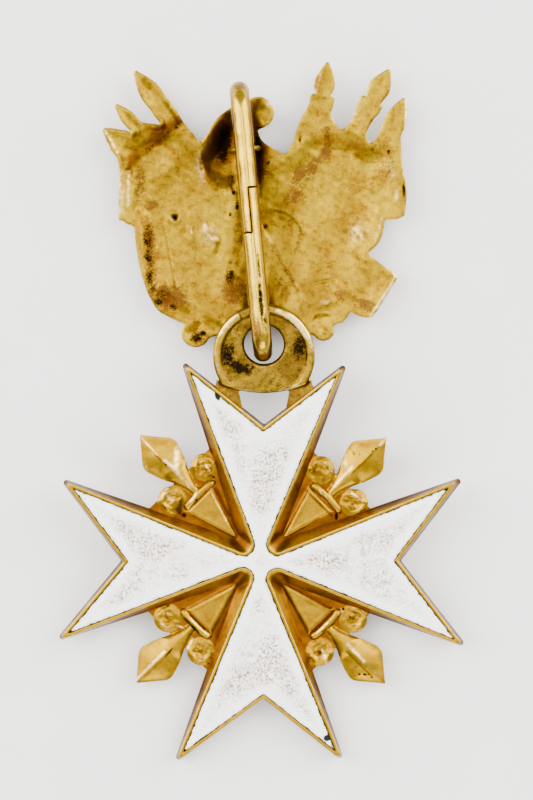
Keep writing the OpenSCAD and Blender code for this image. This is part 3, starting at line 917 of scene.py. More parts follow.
    def web(self, points: Array) -> Array:
        """Returns the web's height, with the raised triangle, its sloping border and its faint lip."""
        tip, end, slope = self.panel
        w, r = mirrored(points).T
        side = (w - (r - tip) * slope) / math.hypot(1, slope)
        out = np.maximum(side, r - end)
        base = self.web_thick / 2
        raised = (self.panel_thick / 2 - base) * (1 - smooth((out + 0.08) / 0.55))
        return base + raised + 0.02 * bell(out + 0.22, 0.16)

    def tie(self, q: Array) -> Array:
        """Returns the height of the band that ties the petals: a round bar, a little arched."""
        w, half = np.abs(q[:, 0]), self.tie_l / 2
        across = q[:, 1] - self.tie_at * self.reach - self.tie_bow * (1 - (w / half) ** 2)
        gap = np.hypot(across, np.maximum(w - half + self.tie_d / 2, 0))
        bar = np.sqrt(np.maximum((self.tie_d / 2 + 0.08) ** 2 - gap**2, 0))
        centre = self.petal_thick * 0.27 - 0.3 * (w / half) ** 4
        return np.where(bar > 0, centre + bar - 0.06, -1.0)

    def curls(self, q: Array) -> Array:
        """Returns the height of the curled petals.

        Each is a low dome whose rim rolls over from the neck, over the top and down the outer side, to
        a small knob in the sunk middle. The roll is h exp(-((d - r)/w)^2) at the distance d from the
        petal's middle, and fades towards the web.
        """
        off = self.from_lobe(q)
        d = np.linalg.norm(off, axis=1)
        angle = np.degrees(np.arctan2(off[:, 1], off[:, 0]))
        around = smooth((angle + 65) / 60) * (1 - smooth((angle - 120) / 60))
        limit = self.curl_r + self.roll_r
        dome = np.sqrt(np.maximum(1 - (d / limit) ** 2, 0))
        roll_h, roll_at, roll_w = self.roll
        roll = roll_h * bell(d - roll_at, roll_w) * (0.1 + 0.9 * around)
        rise = 0.24 + 0.26 * dome**0.45 + roll + waves(q, self.crumple) * dome
        rise += blobs(off, self.knob) - blobs(off, self.dent)
        return np.where(d < limit, rise, -1.0)

    def middle(self, q: Array) -> Array:
        """Returns the middle petal's height: two facets that meet in a ridge, rounded at the neck."""
        place, _, height = np.array(self.petal).T
        half = self.petal_width(q[:, 1])
        t = q[:, 1] / self.reach
        ridge, edge = np.interp(t, place, height), 0.22
        across = np.clip(np.abs(q[:, 0]) / np.maximum(half, 0.05), 0, 1)
        neck = smooth((0.74 - t) / 0.05)
        facet = 1 - across + 0.12 * np.sin(math.pi * across)
        shape = facet * (1 - neck) + np.sqrt(np.maximum(1 - across**2, 0)) * neck
        return np.where(half > 0, (edge + (ridge - edge) * shape) * self.petal_thick / 2, -1.0)

    def shell(self, cell: float) -> Shell:
        """Returns the relief as a closed solid, alike on both faces."""
        low, high = (-7.4, 3.0), (7.4, self.reach + self.outward + 0.3)
        plan = trimmed_grid(self.inside, low, high, cell)
        rise, sunk = self.height(plan.points)
        rise = np.maximum(rise, 0.08) + waves(plan.points, self.uneven)
        masks = {key: np.minimum(strokes(plan.points, rows), 1) for key, rows in self.marks.items()}
        q = self.fleur_points(plan.points)
        # Painted shade under the middle of each curled petal, so that only its top looks lit.
        under = distance(self.from_lobe(q), np.array([-0.1, -0.45]))
        haze = 0.5 * bell(under, 0.95) * (1 + 0.4 * ripple(q, 1.0, 17))
        masks["shade"] = np.clip(masks["shade"] + haze, 0, 1)
        # Low places between the raised forms carry painted shade.
        shell = slab(plan, rise, -rise, {"hollow": sunk, **masks})
        shell.points[:, :2] = turned(shell.points[:, :2], self.turn)
        return shell


# The lilies by name: turn, shift across and shift outwards in millimetres, and marks by mask:
# painted highlights, painted shade, and dark pits. A mark's columns are its two ends (w, r), width
# and strength, in millimetres.
LILIES = {
    "lily_upper_right": LilyAngle(-45, 0.29, 0.14, {
        "worn": (
            (0.4, 23.3, 0.35, 22.3, 0.2, 1), (-0.2, 17.6, -0.15, 14, 0.2, 0.9),
            (-3.2, 15.5, -1.7, 15.3, 0.15, 0.9), (2.2, 15.2, 4.1, 15.4, 0.18, 0.9),
            (-1.5, 12.6, -0.5, 12.1, 0.12, 0.7), (-0.2, 12.4, 1, 12.2, 0.12, 0.6),
            (-1.9, 18, -0.7, 16.8, 0.4, 0.5), (1.9, 20.6, 2.5, 20, 0.2, 0.3),
        ),
        "shade": (
            (0.4, 22.2, 0.3, 17.2, 0.22, 0.65), (-1.4, 19.2, -2.2, 19.2, 0.25, 0.5),
            (-3.9, 14.3, -3.3, 13.6, 0.3, 0.6), (2.5, 14.5, 1.5, 13.5, 0.4, 0.4),
            (-2.3, 11.1, 2.4, 11.1, 0.22, 0.75), (-1.9, 10.7, -0.1, 4.3, 0.16, 0.7),
            (1.5, 9.6, 0.3, 5.2, 0.15, 0.6), (3.1, 11.4, 1.2, 5.5, 0.45, 0.5),
            (-2.9, 10.8, -1, 4.5, 0.45, 0.45), (-1.8, 13.9, -1.3, 13.2, 0.3, 0.4),
        ),
        "crevice": (
            (2.9, 11.55, 2.95, 11.5, 0.2, 1.6), (3.15, 11.25, 3.2, 11.2, 0.16, 1.4),
            (0.25, 21.6, 0.3, 21.6, 0.13, 1), (0.2, 21.1, 0.2, 21, 0.12, 0.9),
            (-0.7, 19.6, -0.7, 19.5, 0.12, 0.8), (-3.9, 13.4, -3.9, 13.3, 0.16, 0.9),
            (-1.5, 19.1, -1.2, 19, 0.14, 0.7),
        ),
    }),
    "lily_upper_left": LilyAngle(45, 0.57, -0.17, {
        "worn": (
            (0.45, 23, 0.4, 18.6, 0.13, 1), (0.6, 18.4, 0.5, 13.6, 0.3, 0.7),
            (2.9, 18.3, 1, 16.9, 0.5, 0.8), (-0.9, 12.2, 0.3, 12.4, 0.16, 1),
            (-1.8, 11.9, 2.9, 11.6, 0.14, 0.6), (4, 14.4, 3.9, 13.3, 0.16, 0.7),
            (-2.6, 14.9, -2.5, 14, 0.3, 0.6), (-3.8, 15.3, -1.8, 15.6, 0.25, 0.5),
            (-1.6, 20.3, -2, 19.2, 0.3, 0.4), (0.5, 6.5, 1.8, 10.7, 0.18, 0.45),
        ),
        "shade": (
            (-0.8, 18, -0.6, 15.2, 0.55, 0.55), (0.25, 20, 0.3, 17.8, 0.12, 0.9),
            (-2.9, 12.6, -2.9, 11.6, 0.35, 1), (-1.4, 13.3, -2.9, 12.3, 0.3, 0.6),
            (0.3, 4.5, 2.6, 11, 0.42, 1), (3.3, 13, 3.6, 12.3, 0.25, 0.7),
            (-3.9, 14.5, -3.9, 13.6, 0.16, 0.7), (-0.6, 11.85, 0.1, 11.8, 0.12, 0.8),
            (-1.9, 10.5, -0.3, 5, 0.2, 0.4),
        ),
        "crevice": (
            (-2.8, 11.5, -2.8, 11.4, 0.22, 1.5), (-3.1, 12.1, -3, 12.1, 0.14, 1),
            (0.3, 18.1, 0.3, 18, 0.13, 1.2), (-0.2, 11.8, -0.1, 11.8, 0.14, 1),
            (3.6, 12.4, 3.6, 12.3, 0.16, 0.9), (-3.9, 14.1, -3.9, 13.9, 0.12, 0.8),
        ),
    }),
    "lily_lower_right": LilyAngle(-135, -0.17, 0.11, {
        "worn": (
            (-0.35, 19.3, -0.4, 16.2, 0.26, 1), (-0.3, 22.5, -0.2, 19.5, 0.2, 0.35),
            (-3.1, 12.2, -2.3, 12.6, 0.16, 0.9), (-0.5, 12.2, 1.5, 12.2, 0.14, 1),
            (-3.4, 15.4, -3.2, 15, 0.2, 0.5), (-2.4, 18.9, -2.2, 18.3, 0.2, 0.4),
            (3.2, 15.4, 2.5, 14.8, 0.3, 0.4), (2.2, 13.6, 3.4, 16, 0.2, 0.3),
        ),
        "shade": (
            (0.4, 21.6, 0.35, 16.8, 0.16, 0.7), (1.4, 16.4, 1.2, 15.5, 0.15, 0.9),
            (0.9, 16.4, 0.5, 14.6, 0.35, 0.5), (-0.8, 12.9, 0.8, 12.6, 0.14, 0.9),
            (-2.1, 11, -0.3, 4.3, 0.38, 1.1), (1.9, 10.8, 0.5, 5, 0.22, 0.6),
            (2.4, 12.8, 2.7, 12.4, 0.3, 0.6), (3.4, 13.8, 3.2, 14.6, 0.25, 0.4),
            (-4.5, 14.5, -3.6, 12.8, 0.3, 0.4),
        ),
        "crevice": (
            (0.5, 21.6, 0.5, 21.7, 0.13, 1), (0.45, 21.1, 0.45, 21, 0.11, 0.9),
            (0.8, 20.8, 0.9, 20.6, 0.16, 1.1), (1.35, 20.2, 1.4, 20.1, 0.15, 1),
            (1, 19.2, 1, 19.1, 0.12, 0.8), (2.95, 14.4, 2.95, 14.3, 0.14, 1.1),
            (-4, 13.9, -4, 13.8, 0.13, 0.9), (-3.2, 13.9, -3.2, 13.8, 0.13, 0.9),
            (-3.3, 12.5, -3.3, 12.4, 0.17, 1.1), (-2.3, 11.3, -2.3, 11.2, 0.14, 1),
            (0, 3.6, 0, 3.5, 0.28, 1.3), (-4.9, 15.4, -4.9, 15.3, 0.15, 1),
        ),
    }),
    "lily_lower_left": LilyAngle(135, 0.09, -0.06, {
        "worn": (
            (0.35, 23, 0.45, 17.6, 0.22, 1), (-1.5, 15.2, -1, 13.8, 0.2, 0.9),
            (-2.2, 11.95, 1.3, 12, 0.13, 1), (1, 13.6, 1.7, 14, 0.15, 0.8),
            (3.3, 15.3, 2.2, 14.9, 0.15, 0.6), (-3.8, 15.4, -3.6, 14.6, 0.2, 0.5),
            (2.7, 19.9, 2.7, 18.9, 0.15, 0.5), (1.1, 22, 2.4, 20.6, 0.12, 0.5),
            (3.2, 13.6, 4, 13.6, 0.16, 0.4),
        ),
        "shade": (
            (-0.15, 22, -0.2, 18, 0.14, 0.6), (-0.1, 17.8, 0, 16.6, 0.12, 1),
            (-0.9, 12.6, 1.6, 12.5, 0.2, 1.2), (-1.9, 16.4, -1.4, 15.9, 0.15, 0.9),
            (-2.9, 11, -0.6, 3.6, 0.5, 0.85), (3, 10.6, 0.7, 5, 0.3, 0.45),
            (4.4, 12.8, 4.6, 13.3, 0.2, 0.6), (-4.3, 13.6, -3.3, 11.2, 0.4, 0.4),
            (-0.2, 3.1, 0.1, 4.2, 0.35, 0.8),
        ),
        "crevice": (
            (-2.6, 8.3, -2.7, 8.4, 0.2, 1), (-0.3, 3.1, -0.2, 3, 0.25, 1.3),
            (-4.9, 14.7, -4.9, 14.6, 0.13, 1), (-2.7, 13.5, -2.7, 13.4, 0.12, 0.8),
            (-0.4, 12.6, 0.1, 12.55, 0.16, 1.3), (4.4, 13, 4.4, 12.9, 0.13, 0.9),
            (-0.1, 17.3, 0, 16.8, 0.1, 0.9),
        ),
    }),
}


# Dark pitting on the eye. Columns as for the chips.
EYE_SOOT = (
    (228, 353, 9, 15, 0, 0.8), (240, 366, 16, 8, -15, 0.85), (299, 346, 8, 17, 0, 0.8),
    (252, 366, 4, 3, 0, 0.7), (281, 318, 8, 3, -30, 0.35), (300, 368, 5, 4, 60, 0.5),
)

# Glints on the eye's rim. Columns: ends across and down, width, all in pixels, and strength.
EYE_GLINTS = (
    (277, 309, 292, 315, 2.4, 0.9), (292, 315, 306, 332, 4.2, 1.5), (308, 334, 311, 345, 2.0, 0.6),
    (217, 332, 232, 314, 3.6, 1.5), (233, 309, 238, 313, 1.4, 1.2), (215, 350, 219, 372, 2.5, 0.4),
    (240, 388, 258, 392, 2.5, 0.4), (280, 390, 298, 384, 2.5, 0.5),
)


@dataclass(frozen=True)
class SuspensionEye:
    """The flat ring soldered into the top arm's notch, with a raised rim and solder in its corners.

    Attributes:
        rim_w: Width of the raised rim.
        rim_h: Height of the raised rim over the face.
        foot: The eye's flat foot as a share of its radius.
        round_r: Radius of its rounded edges.
        start: Where the eye's outline starts over the cross's centre.
        worn_arc: Angles between which the rim wore down.
        solder_z: Height of the solder at the ring.
        uneven: Waves of the face, as height, scale and seed.
        head: The solder's upper points. Columns are side and drop as shares of the eye's radius.
        feet: The solder's lower points, as shares of the way from the notch to the arm's points.
    """

    rim_w: float = 1.12
    rim_h: float = 0.3
    foot: float = 0.74
    round_r: float = 0.34
    start: float = 17.5
    worn_arc: tuple[float, float] = (84.0, 119.0)
    solder_z: float = 0.95
    uneven: Rows = ((0.006, 1.6, 5), (0.02, 4.5, 6))
    head: Pairs = ((0.5, 0.7), (0.93, 0.5))
    feet: tuple[float, float] = (0.62, 0.26)

    def solder_lines(self) -> list[Array]:
        """Returns the outlines of the two solder fillets."""
        left, right, notch = (np.array(EnamelledCross().edges)[0, 1:] * LAYOUT.reach).reshape(3, 2)
        lines = []
        for side, point in ((-1, left), (1, right)):
            head = LAYOUT.eye + np.array(self.head) * np.array([side, -1]) * LAYOUT.eye_r
            feet = notch + (point - notch) * np.array(self.feet)[:, None] - np.array([0, 0.45])
            lines.append(np.concatenate([head, feet]))
        return lines

    def ring(self, points: Array) -> Array:
        """Returns the distance inside the ring's outline, trimmed by the shallow arc at its foot."""
        disc = LAYOUT.eye_r - distance(points, LAYOUT.eye)
        centre = LAYOUT.eye + np.array([0, LAYOUT.eye_r * (2 - self.foot)])
        return np.minimum(disc, 2 * LAYOUT.eye_r - distance(points, centre))

    def inside(self, points: Array) -> Array:
        """Returns the distance inside the eye: the ring and the solder, less the hole."""
        solid = self.ring(points)
        for line in self.solder_lines():
            other = outline_distance(points, line)
            blend = np.maximum(0.5 - np.abs(solid - other), 0)
            solid = np.maximum(solid, other) + blend * blend / 2
        return np.minimum(solid, distance(points, LAYOUT.hole) - LAYOUT.hole_r)

    def rim(self, points: Array) -> Array:
        """Returns the rim's share of its full height: low where it wore down at the upper left, none at
        the foot.
        """
        across, up = (points - LAYOUT.eye).T
        around = np.degrees(np.arctan2(up, across))
        # Share of the rim that wore down low at the upper left.
        worn = smooth((around - self.worn_arc[0]) / 5) * (1 - smooth((around - self.worn_arc[1]) / 4))
        low = smooth((np.abs(around + 90) - 38) / 14)
        inward = LAYOUT.eye_r - np.hypot(across, up)
        return smooth((self.rim_w - inward) / 0.3 + 0.5) * (1 - 0.75 * worn) * low

    def shell(self, cell: float) -> Shell:
        """Returns the eye as a closed solid.

        Its height is the face's, plus the rim's smooth shoulder along the outer edge, less a rounding
        r - sqrt(r^2 - (r - d)^2) at the edges, plus waves on the face.
        """
        centre, r = LAYOUT.eye, LAYOUT.eye_r
        plan = trimmed_grid(self.inside, (centre[0] - r, self.start), centre + r, cell)
        p = plan.points
        edge, disc = np.maximum(self.inside(p), 0), r - distance(p, centre)
        rim, solder = self.rim(p), smooth(0.4 - self.ring(p) / 0.5)
        over = np.maximum(self.round_r - edge, 0)
        bevel = self.round_r - np.sqrt(np.maximum(self.round_r**2 - over**2, 0))
        rise = LAYOUT.eye_thick / 2 - self.rim_h + self.rim_h * rim - bevel
        rise = rise * (1 - solder) + (self.solder_z - 0.25 * solder) * solder
        rise += waves(p, self.uneven) * (1 - rim) * smooth(disc / 1.2)
        return slab(plan, rise, -rise, self.marks(p, edge, rim, solder))

    def marks(self, p: Array, edge: Array, rim: Array, solder: Array) -> dict[str, Array]:
        """Returns the eye's masks: dark pits and patches, a warmer face (tarnish and painted shade), a
        dark line of painted shade inside the rim, painted glints and red solder.

        Args:
            p: Plan points.
            edge: Their distance from the nearest edge.
            rim: Share of the raised rim at each of them.
            solder: Share of solder at each of them.
        """
        soot = blobs(p, VIEW.spots(EYE_SOOT, LAYOUT.shift))
        crevice = 0.45 * bell(distance(p, LAYOUT.hole) - LAYOUT.hole_r, 0.22)
        speckle = (0.31 + 0.06 * ripple(p, 3.5, 8)) * (1 - rim) * (1 - solder)
        glint = strokes(p, VIEW.lines(EYE_GLINTS, LAYOUT.shift)) * smooth(edge / 0.2)
        line = bell(LAYOUT.eye_r - distance(p, LAYOUT.eye) - self.rim_w, 0.22) * (1 - solder)
        # The face is warmer, partly tarnish and partly painted shade; the line inside the rim is painted
        # shade.
        return {
            "hollow": np.maximum(1 - rim, 0.6 * line),
            "crevice": crevice * (p[:, 1] < LAYOUT.hole[1] + 1),
            "soot": np.maximum(soot, speckle),
            "shade": np.minimum(0.6 * soot + 0.4 * line, 1),
            "copper": 0.4 * solder,
            "worn": np.minimum(glint, 1),
        }


# The loop


# Dark pits and copper-red tints on the loop. Columns as for the chips.
LOOP_SOOT = (
    (259, 268, 22, 1.8, 96, 0.75), (261, 302, 24, 2.6, 95, 1.0), (265, 322, 12, 3.0, 95, 0.7),
    (246, 205, 4, 2.0, 90, 0.3),
)
LOOP_COPPER = (
    (258, 335, 16, 3.6, 92, 1.0), (264, 358, 6, 9, 90, 1.0), (239, 86, 7, 9, 90, 0.7),
    (252, 196, 8, 3, 90, 0.35),
)


@dataclass(frozen=True)
class RibbonLoop:
    """The long wire loop, its ends halved and lapped side by side in its near strand.

    Attributes:
        lap_l: Length of the lap.
        lap_at: Place of the lap's middle as a share of the loop's length from its foot.
        groove: Width of the open line between the lapped ends.
        cut: Depth of that line.
        uneven: Waves along the wire, as height, scale and seed.
        sides: Points round the wire before the finer ones at the lap's line.
    """

    lap_l: float = 6.0
    lap_at: float = 0.54
    groove: float = 0.13
    cut: float = 0.42
    uneven: Rows = ((0.018, 4.5, 21),)
    sides: int = 48

    def path(self) -> tuple[Array, Array]:
        """Returns the wire's middle line in the loop's frame and its outward normals, both (n, 3).

        The line is two straight strands joined by half circles, (y, z) in the upright plane, with
        short steps where the lap's end lines cross the wire.
        """
        bend = (LAYOUT.near_z - LAYOUT.far_z) / 2
        low = bend + LAYOUT.wire_d / 2
        high = LAYOUT.loop_l - low
        ends = self.lap_at * LAYOUT.loop_l + self.lap_l / 2 * np.array([[-1], [1]])
        fine = ends + self.groove * np.array([-1.3, -0.7, -0.35, 0, 0.35, 0.7, 1.3])
        up = np.unique(np.concatenate([np.linspace(low, high, 100), fine.ravel()]))
        turn = spokes(np.radians(np.linspace(90, -90, 30)[1:-1])) * bend
        down = np.linspace(high, low, 60)
        runs = [np.stack([up, np.full_like(up, bend)], 1), turn + [high, 0]]
        runs += [np.stack([down, np.full_like(down, -bend)], 1), [low, 0] - turn]
        line = np.concatenate(runs)
        middle = np.stack([np.clip(line[:, 0], low, high), np.zeros(len(line))], 1)
        upright = np.eye(3)[1:]
        return line @ upright, unit(line - middle) @ upright

    def around(self) -> Array:
        """Returns the angles round the wire's section, finer at the lap's line and behind it."""
        fine = np.radians([-7, -4.5, -2.8, -1.4, 0, 1.4, 2.8, 4.5, 7])
        even = np.linspace(-math.pi, math.pi, self.sides, endpoint=False)
        even = even[(np.abs(even) > 0.16) & (np.abs(np.abs(even) - math.pi) > 0.16)]
        back = (math.pi + fine) % (2 * math.pi) - math.pi
        return np.unique(np.round(np.concatenate([even, fine, back]), 9))

    def lap_line(self, y: Array, side: Array) -> Array:
        """Returns the groove's share of its depth: a long line, and an end line on either half.

        Args:
            y: Place along the near strand.
            side: Place across it.
        """
        width, overlap = self.groove / 1.7, 0.02
        along = y - self.lap_at * LAYOUT.loop_l
        long = bell(side, width) * (np.abs(along) <= self.lap_l / 2)
        upper = bell(along - self.lap_l / 2, width) * (side > -overlap)
        lower = bell(along + self.lap_l / 2, width) * (side < overlap)
        return np.maximum(np.maximum(long, upper), lower)

    def shell(self) -> Shell:
        """Returns the wire: round sections carried along the path, less the lap's lines."""
        line, normal = self.path()
        around = self.around()
        near = line[:, 2:] > 0
        cut = self.lap_line(line[:, 1:2], np.sin(around) * LAYOUT.wire_d / 2) * near
        radius = LAYOUT.wire_d / 2 - self.cut * cut + waves(line[:, 1:], self.uneven)[:, None]
        spoke = normal[:, None] * np.cos(around)[:, None] + np.eye(3)[0] * np.sin(around)[:, None]
        points = line[:, None] + spoke * radius[..., None]
        rows, columns = radius.shape
        badge = LAYOUT.from_loop(points.reshape(-1, 3))
        soot = blobs(badge[:, :2], VIEW.spots(LOOP_SOOT, np.zeros(2)))
        # The wire's sides carry painted shade, deepest at the edges seen from above.
        flank = np.tile(np.abs(np.sin(around)) ** 3, rows)
        masks = {
            "crevice": cut.ravel(),
            "soot": soot * np.repeat(near, columns),
            "copper": blobs(badge[:, :2], VIEW.spots(LOOP_COPPER, np.zeros(2))),
            "hollow": flank,
            "shade": 0.5 * flank**4,
        }
        return Shell(badge, [net(rows, columns, True, True)], masks)


# The trophy


# Steps, ridges and creases in the trophy's back. Columns: ends across and down in pixels, then a step's
# softness in pixels, its fade and drop in millimetres, or a ridge's width in pixels and rise in
# millimetres. Pips and dimples have the chips' columns, with the rise or fall in millimetres.
STEPS = ((184, 118, 132, 163, 15.0, 5.0, -0.42), (300, 292, 272, 243, 1.5, 3.0, -0.16))
RIDGES = (
    (128, 172, 128, 214, 3.2, 0.5), (200, 158, 210, 196, 7.0, 0.16), (205, 232, 216, 240, 4.0, 0.22),
    (213, 240, 214, 250, 3.0, 0.16), (190, 226, 191, 241, 3.0, 0.14), (357, 222, 362, 238, 5.0, 0.22),
    (303, 222, 303, 232, 4.0, 0.14), (393, 170, 396, 205, 7.0, 0.22), (161, 220, 176, 288, 1.3, -0.12),
    (158, 250, 168, 288, 1.0, -0.08), (231, 183, 234, 191, 0.9, -0.2), (296, 100, 326, 99, 2.0, -0.12),
    (314, 283, 334, 279, 1.2, 0.1), (317, 270, 335, 262, 1.2, 0.1), (176, 126, 186, 116, 3.0, -0.2),
)
PIPS = ((174, 216, 6.5, 6.5, 0, 0.32), (398, 196, 5, 12, 90, 0.2))
DIMPLES = (
    (174.5, 216.5, 2.6, 2.6, 0, 1.0), (145, 87, 9, 4, -56, 0.18), (404, 191, 7, 2, 92, 0.7),
    (265, 226, 1.6, 1.6, 0, 0.3), (300, 139, 4, 2.4, 70, 0.2), (149, 276, 3, 2.4, 0, 0.18),
    (147, 256, 2.4, 2.6, 0, 0.16), (223, 142, 22, 8, 80, 0.3),
)
# The round boss's centre across and down, and its half length and half width.
BOSS = ((272, 241, 31, 31, 0, 1),)

# Marks on the trophy's back, by mask: painted shade and shadow; dark spots and pits, with painted deep
# shadow inside the helmet and beside the loop; copper-red stains; painted highlights; olive stains.
# Columns as for the chips.
STAINS = {
    "shade": (
        (224, 143, 26, 12, 84, 1.25), (222, 152, 16, 8, 90, 0.8), (231, 180, 16, 8, 100, 0.55),
        (262, 148, 24, 11, 80, 0.9), (262, 172, 14, 11, 60, 0.45), (404, 190, 10, 2.2, 92, 0.7),
        (234, 285, 9, 18, 0, 0.35), (168, 300, 17, 10, -10, 0.4), (199, 337, 9, 7, 20, 0.5),
        (357, 146, 16, 7, -10, 0.25),
    ),
    # Dark spots and pits; the rows at (224, 142), (258, 140) and (262, 168), inside the helmet and
    # beside the loop, are painted deep shadow.
    "soot": (
        (224, 142, 18, 6.5, 84, 1.35), (231, 177, 12, 6, 100, 0.5), (258, 140, 15, 5, 80, 0.75),
        (262, 168, 12, 8, 60, 0.42), (262, 127, 6, 3, 0, 0.7), (300, 139, 5, 2.4, 70, 0.62),
        (268, 162, 1.8, 1.8, 0, 0.9), (265, 226, 1.8, 1.8, 0, 1), (196, 338, 8, 5.5, 30, 0.7),
        (203, 333, 4, 3, 0, 0.8), (158, 302, 5, 4, 0, 0.75), (173, 307, 5, 4, 0, 0.65),
        (163, 294, 13, 9, 0, 0.42), (149, 276, 5, 6, 0, 0.72), (147, 256, 5, 6, 0, 0.65),
        (146, 241, 5, 7, 0, 0.5), (230, 276, 6, 10, 0, 0.66), (241, 271, 3, 3, 0, 0.6),
        (231, 262, 3, 3, 0, 0.5), (174.5, 217, 1.9, 1.7, 0, 1.1), (176, 126, 2.4, 1.8, -40, 0.8),
        (149, 149, 2.4, 1.8, -40, 0.8), (373, 149, 1.8, 1.5, 0, 0.9), (389, 151, 1.8, 2.6, 0, 0.85),
        (384, 145, 1.4, 1.4, 0, 0.7), (404, 190, 7, 1.8, 92, 0.9), (234, 192, 3, 2.4, 0, 1),
        (237, 205, 2, 6, 0, 0.9), (230, 214, 2, 3, 0, 0.7), (209, 198, 5, 7, 0, 0.35),
        (152, 298, 8, 10, 30, 0.4),
    ),
    "copper": (
        (222, 127, 9, 7, 60, 1), (308, 172, 15, 7, 40, 0.75), (297, 193, 15, 8, 65, 0.62),
        (290, 222, 8, 14, 0, 0.4), (150, 204, 10, 7, 0, 0.7), (140, 185, 7, 24, 0, 0.6),
        (170, 297, 19, 13, -10, 1), (234, 290, 13, 17, 0, 0.85), (366, 305, 14, 6, -20, 0.9),
        (340, 293, 10, 5, 0, 0.6), (281, 286, 10, 16, 20, 0.5), (262, 170, 14, 14, 0, 0.6),
        (386, 170, 16, 24, 0, 0.4), (238, 235, 7, 20, 0, 0.45), (196, 262, 12, 14, 0, 0.3),
        (200, 338, 10, 10, 0, 0.7), (194, 283, 8, 6, 0, 0.4),
    ),
    # Painted highlights.
    "worn": (
        (205, 228, 2.4, 6.5, 8, 1.1), (209, 234, 11, 14, 0, 0.42), (359, 232, 12, 15, 0, 0.42),
        (200, 172, 6, 20, 15, 0.36), (171.5, 218.5, 2.4, 1.6, -30, 0.9), (358, 230, 3, 5, 0, 0.45),
        (395, 200, 2.5, 7, 0, 0.4), (198, 160, 3, 9, 20, 0.4), (214.5, 237.5, 4.4, 2.1, 5, 1.1),
        (214, 246, 2.6, 3, 20, 0.55), (191, 230, 1.1, 6, 4, 0.6), (396.5, 196, 1.9, 7, -8, 1),
        (357, 229, 4.8, 3, -20, 0.8), (170, 107, 3, 2, 40, 0.5), (325, 302, 8, 2.5, 10, 0.5),
        (268, 104, 3, 8, 0, 0.5),
    ),
    "olive": (
        (357, 145, 17, 7, -10, 0.9), (385, 150, 12, 8, 10, 0.8), (140, 90, 10, 6, -50, 0.5),
        (118, 140, 14, 10, 30, 0.35), (312, 85, 6, 14, 0, 0.35),
    ),
}
# Long marks, by mask: painted shade along the step and the grooves; painted highlights along edges;
# dark bands, the first of them painted shadow along the step; copper-red and olive stains. Columns: ends
# across and down, width, all in pixels, and strength.
BANDS = {
    "shade": (
        (184, 117, 158, 136, 8, 0.75), (160, 134, 132, 160, 9, 0.85), (149, 126, 130, 139, 4, 0.4),
        (162, 221, 175, 287, 1.3, 0.5), (272, 244, 297, 291, 2, 0.45), (266, 213, 296, 219, 2.5, 0.3),
        (296, 101, 326, 99, 1.5, 0.35), (237, 200, 240, 240, 2.5, 0.35), (326, 128, 331, 150, 2, 0.3),
    ),
    # Painted highlights along edges and ridges.
    "worn": (
        (122, 172, 122, 214, 3, 0.45), (128, 175, 128, 205, 2, 0.6), (407, 98, 406, 125, 1.8, 0.8),
        (405, 152, 405, 176, 1.8, 0.8), (199, 152, 203, 172, 2, 0.4), (391, 160, 396, 190, 3, 0.35),
        (384, 263, 397, 276, 1.8, 0.9), (397, 276, 370, 318, 1.8, 0.8), (383, 217, 375, 240, 1.6, 0.5),
        (105, 130, 117, 152, 1.6, 0.6), (357, 114, 372, 84, 1.6, 0.4), (316, 92, 322, 70, 1.6, 0.4),
    ),
    # Dark bands; the first, along the step, is painted shadow.
    "soot": (
        (182, 120, 140, 156, 4.5, 0.4), (147, 226, 151, 290, 6.5, 0.45), (229, 262, 230, 300, 8, 0.22),
        (405, 160, 405, 205, 2, 0.4),
    ),
    "copper": (
        (328, 128, 326, 154, 4, 0.55), (326, 154, 300, 172, 7, 0.6), (300, 172, 286, 202, 6, 0.5),
        (147, 222, 152, 292, 8, 0.55), (272, 243, 298, 290, 3, 0.5), (301, 229, 296, 252, 3.5, 0.4),
        (266, 213, 298, 222, 3, 0.3), (236, 195, 236, 300, 9, 0.3),
    ),
    "olive": ((330, 215, 372, 195, 12, 0.25),),
}


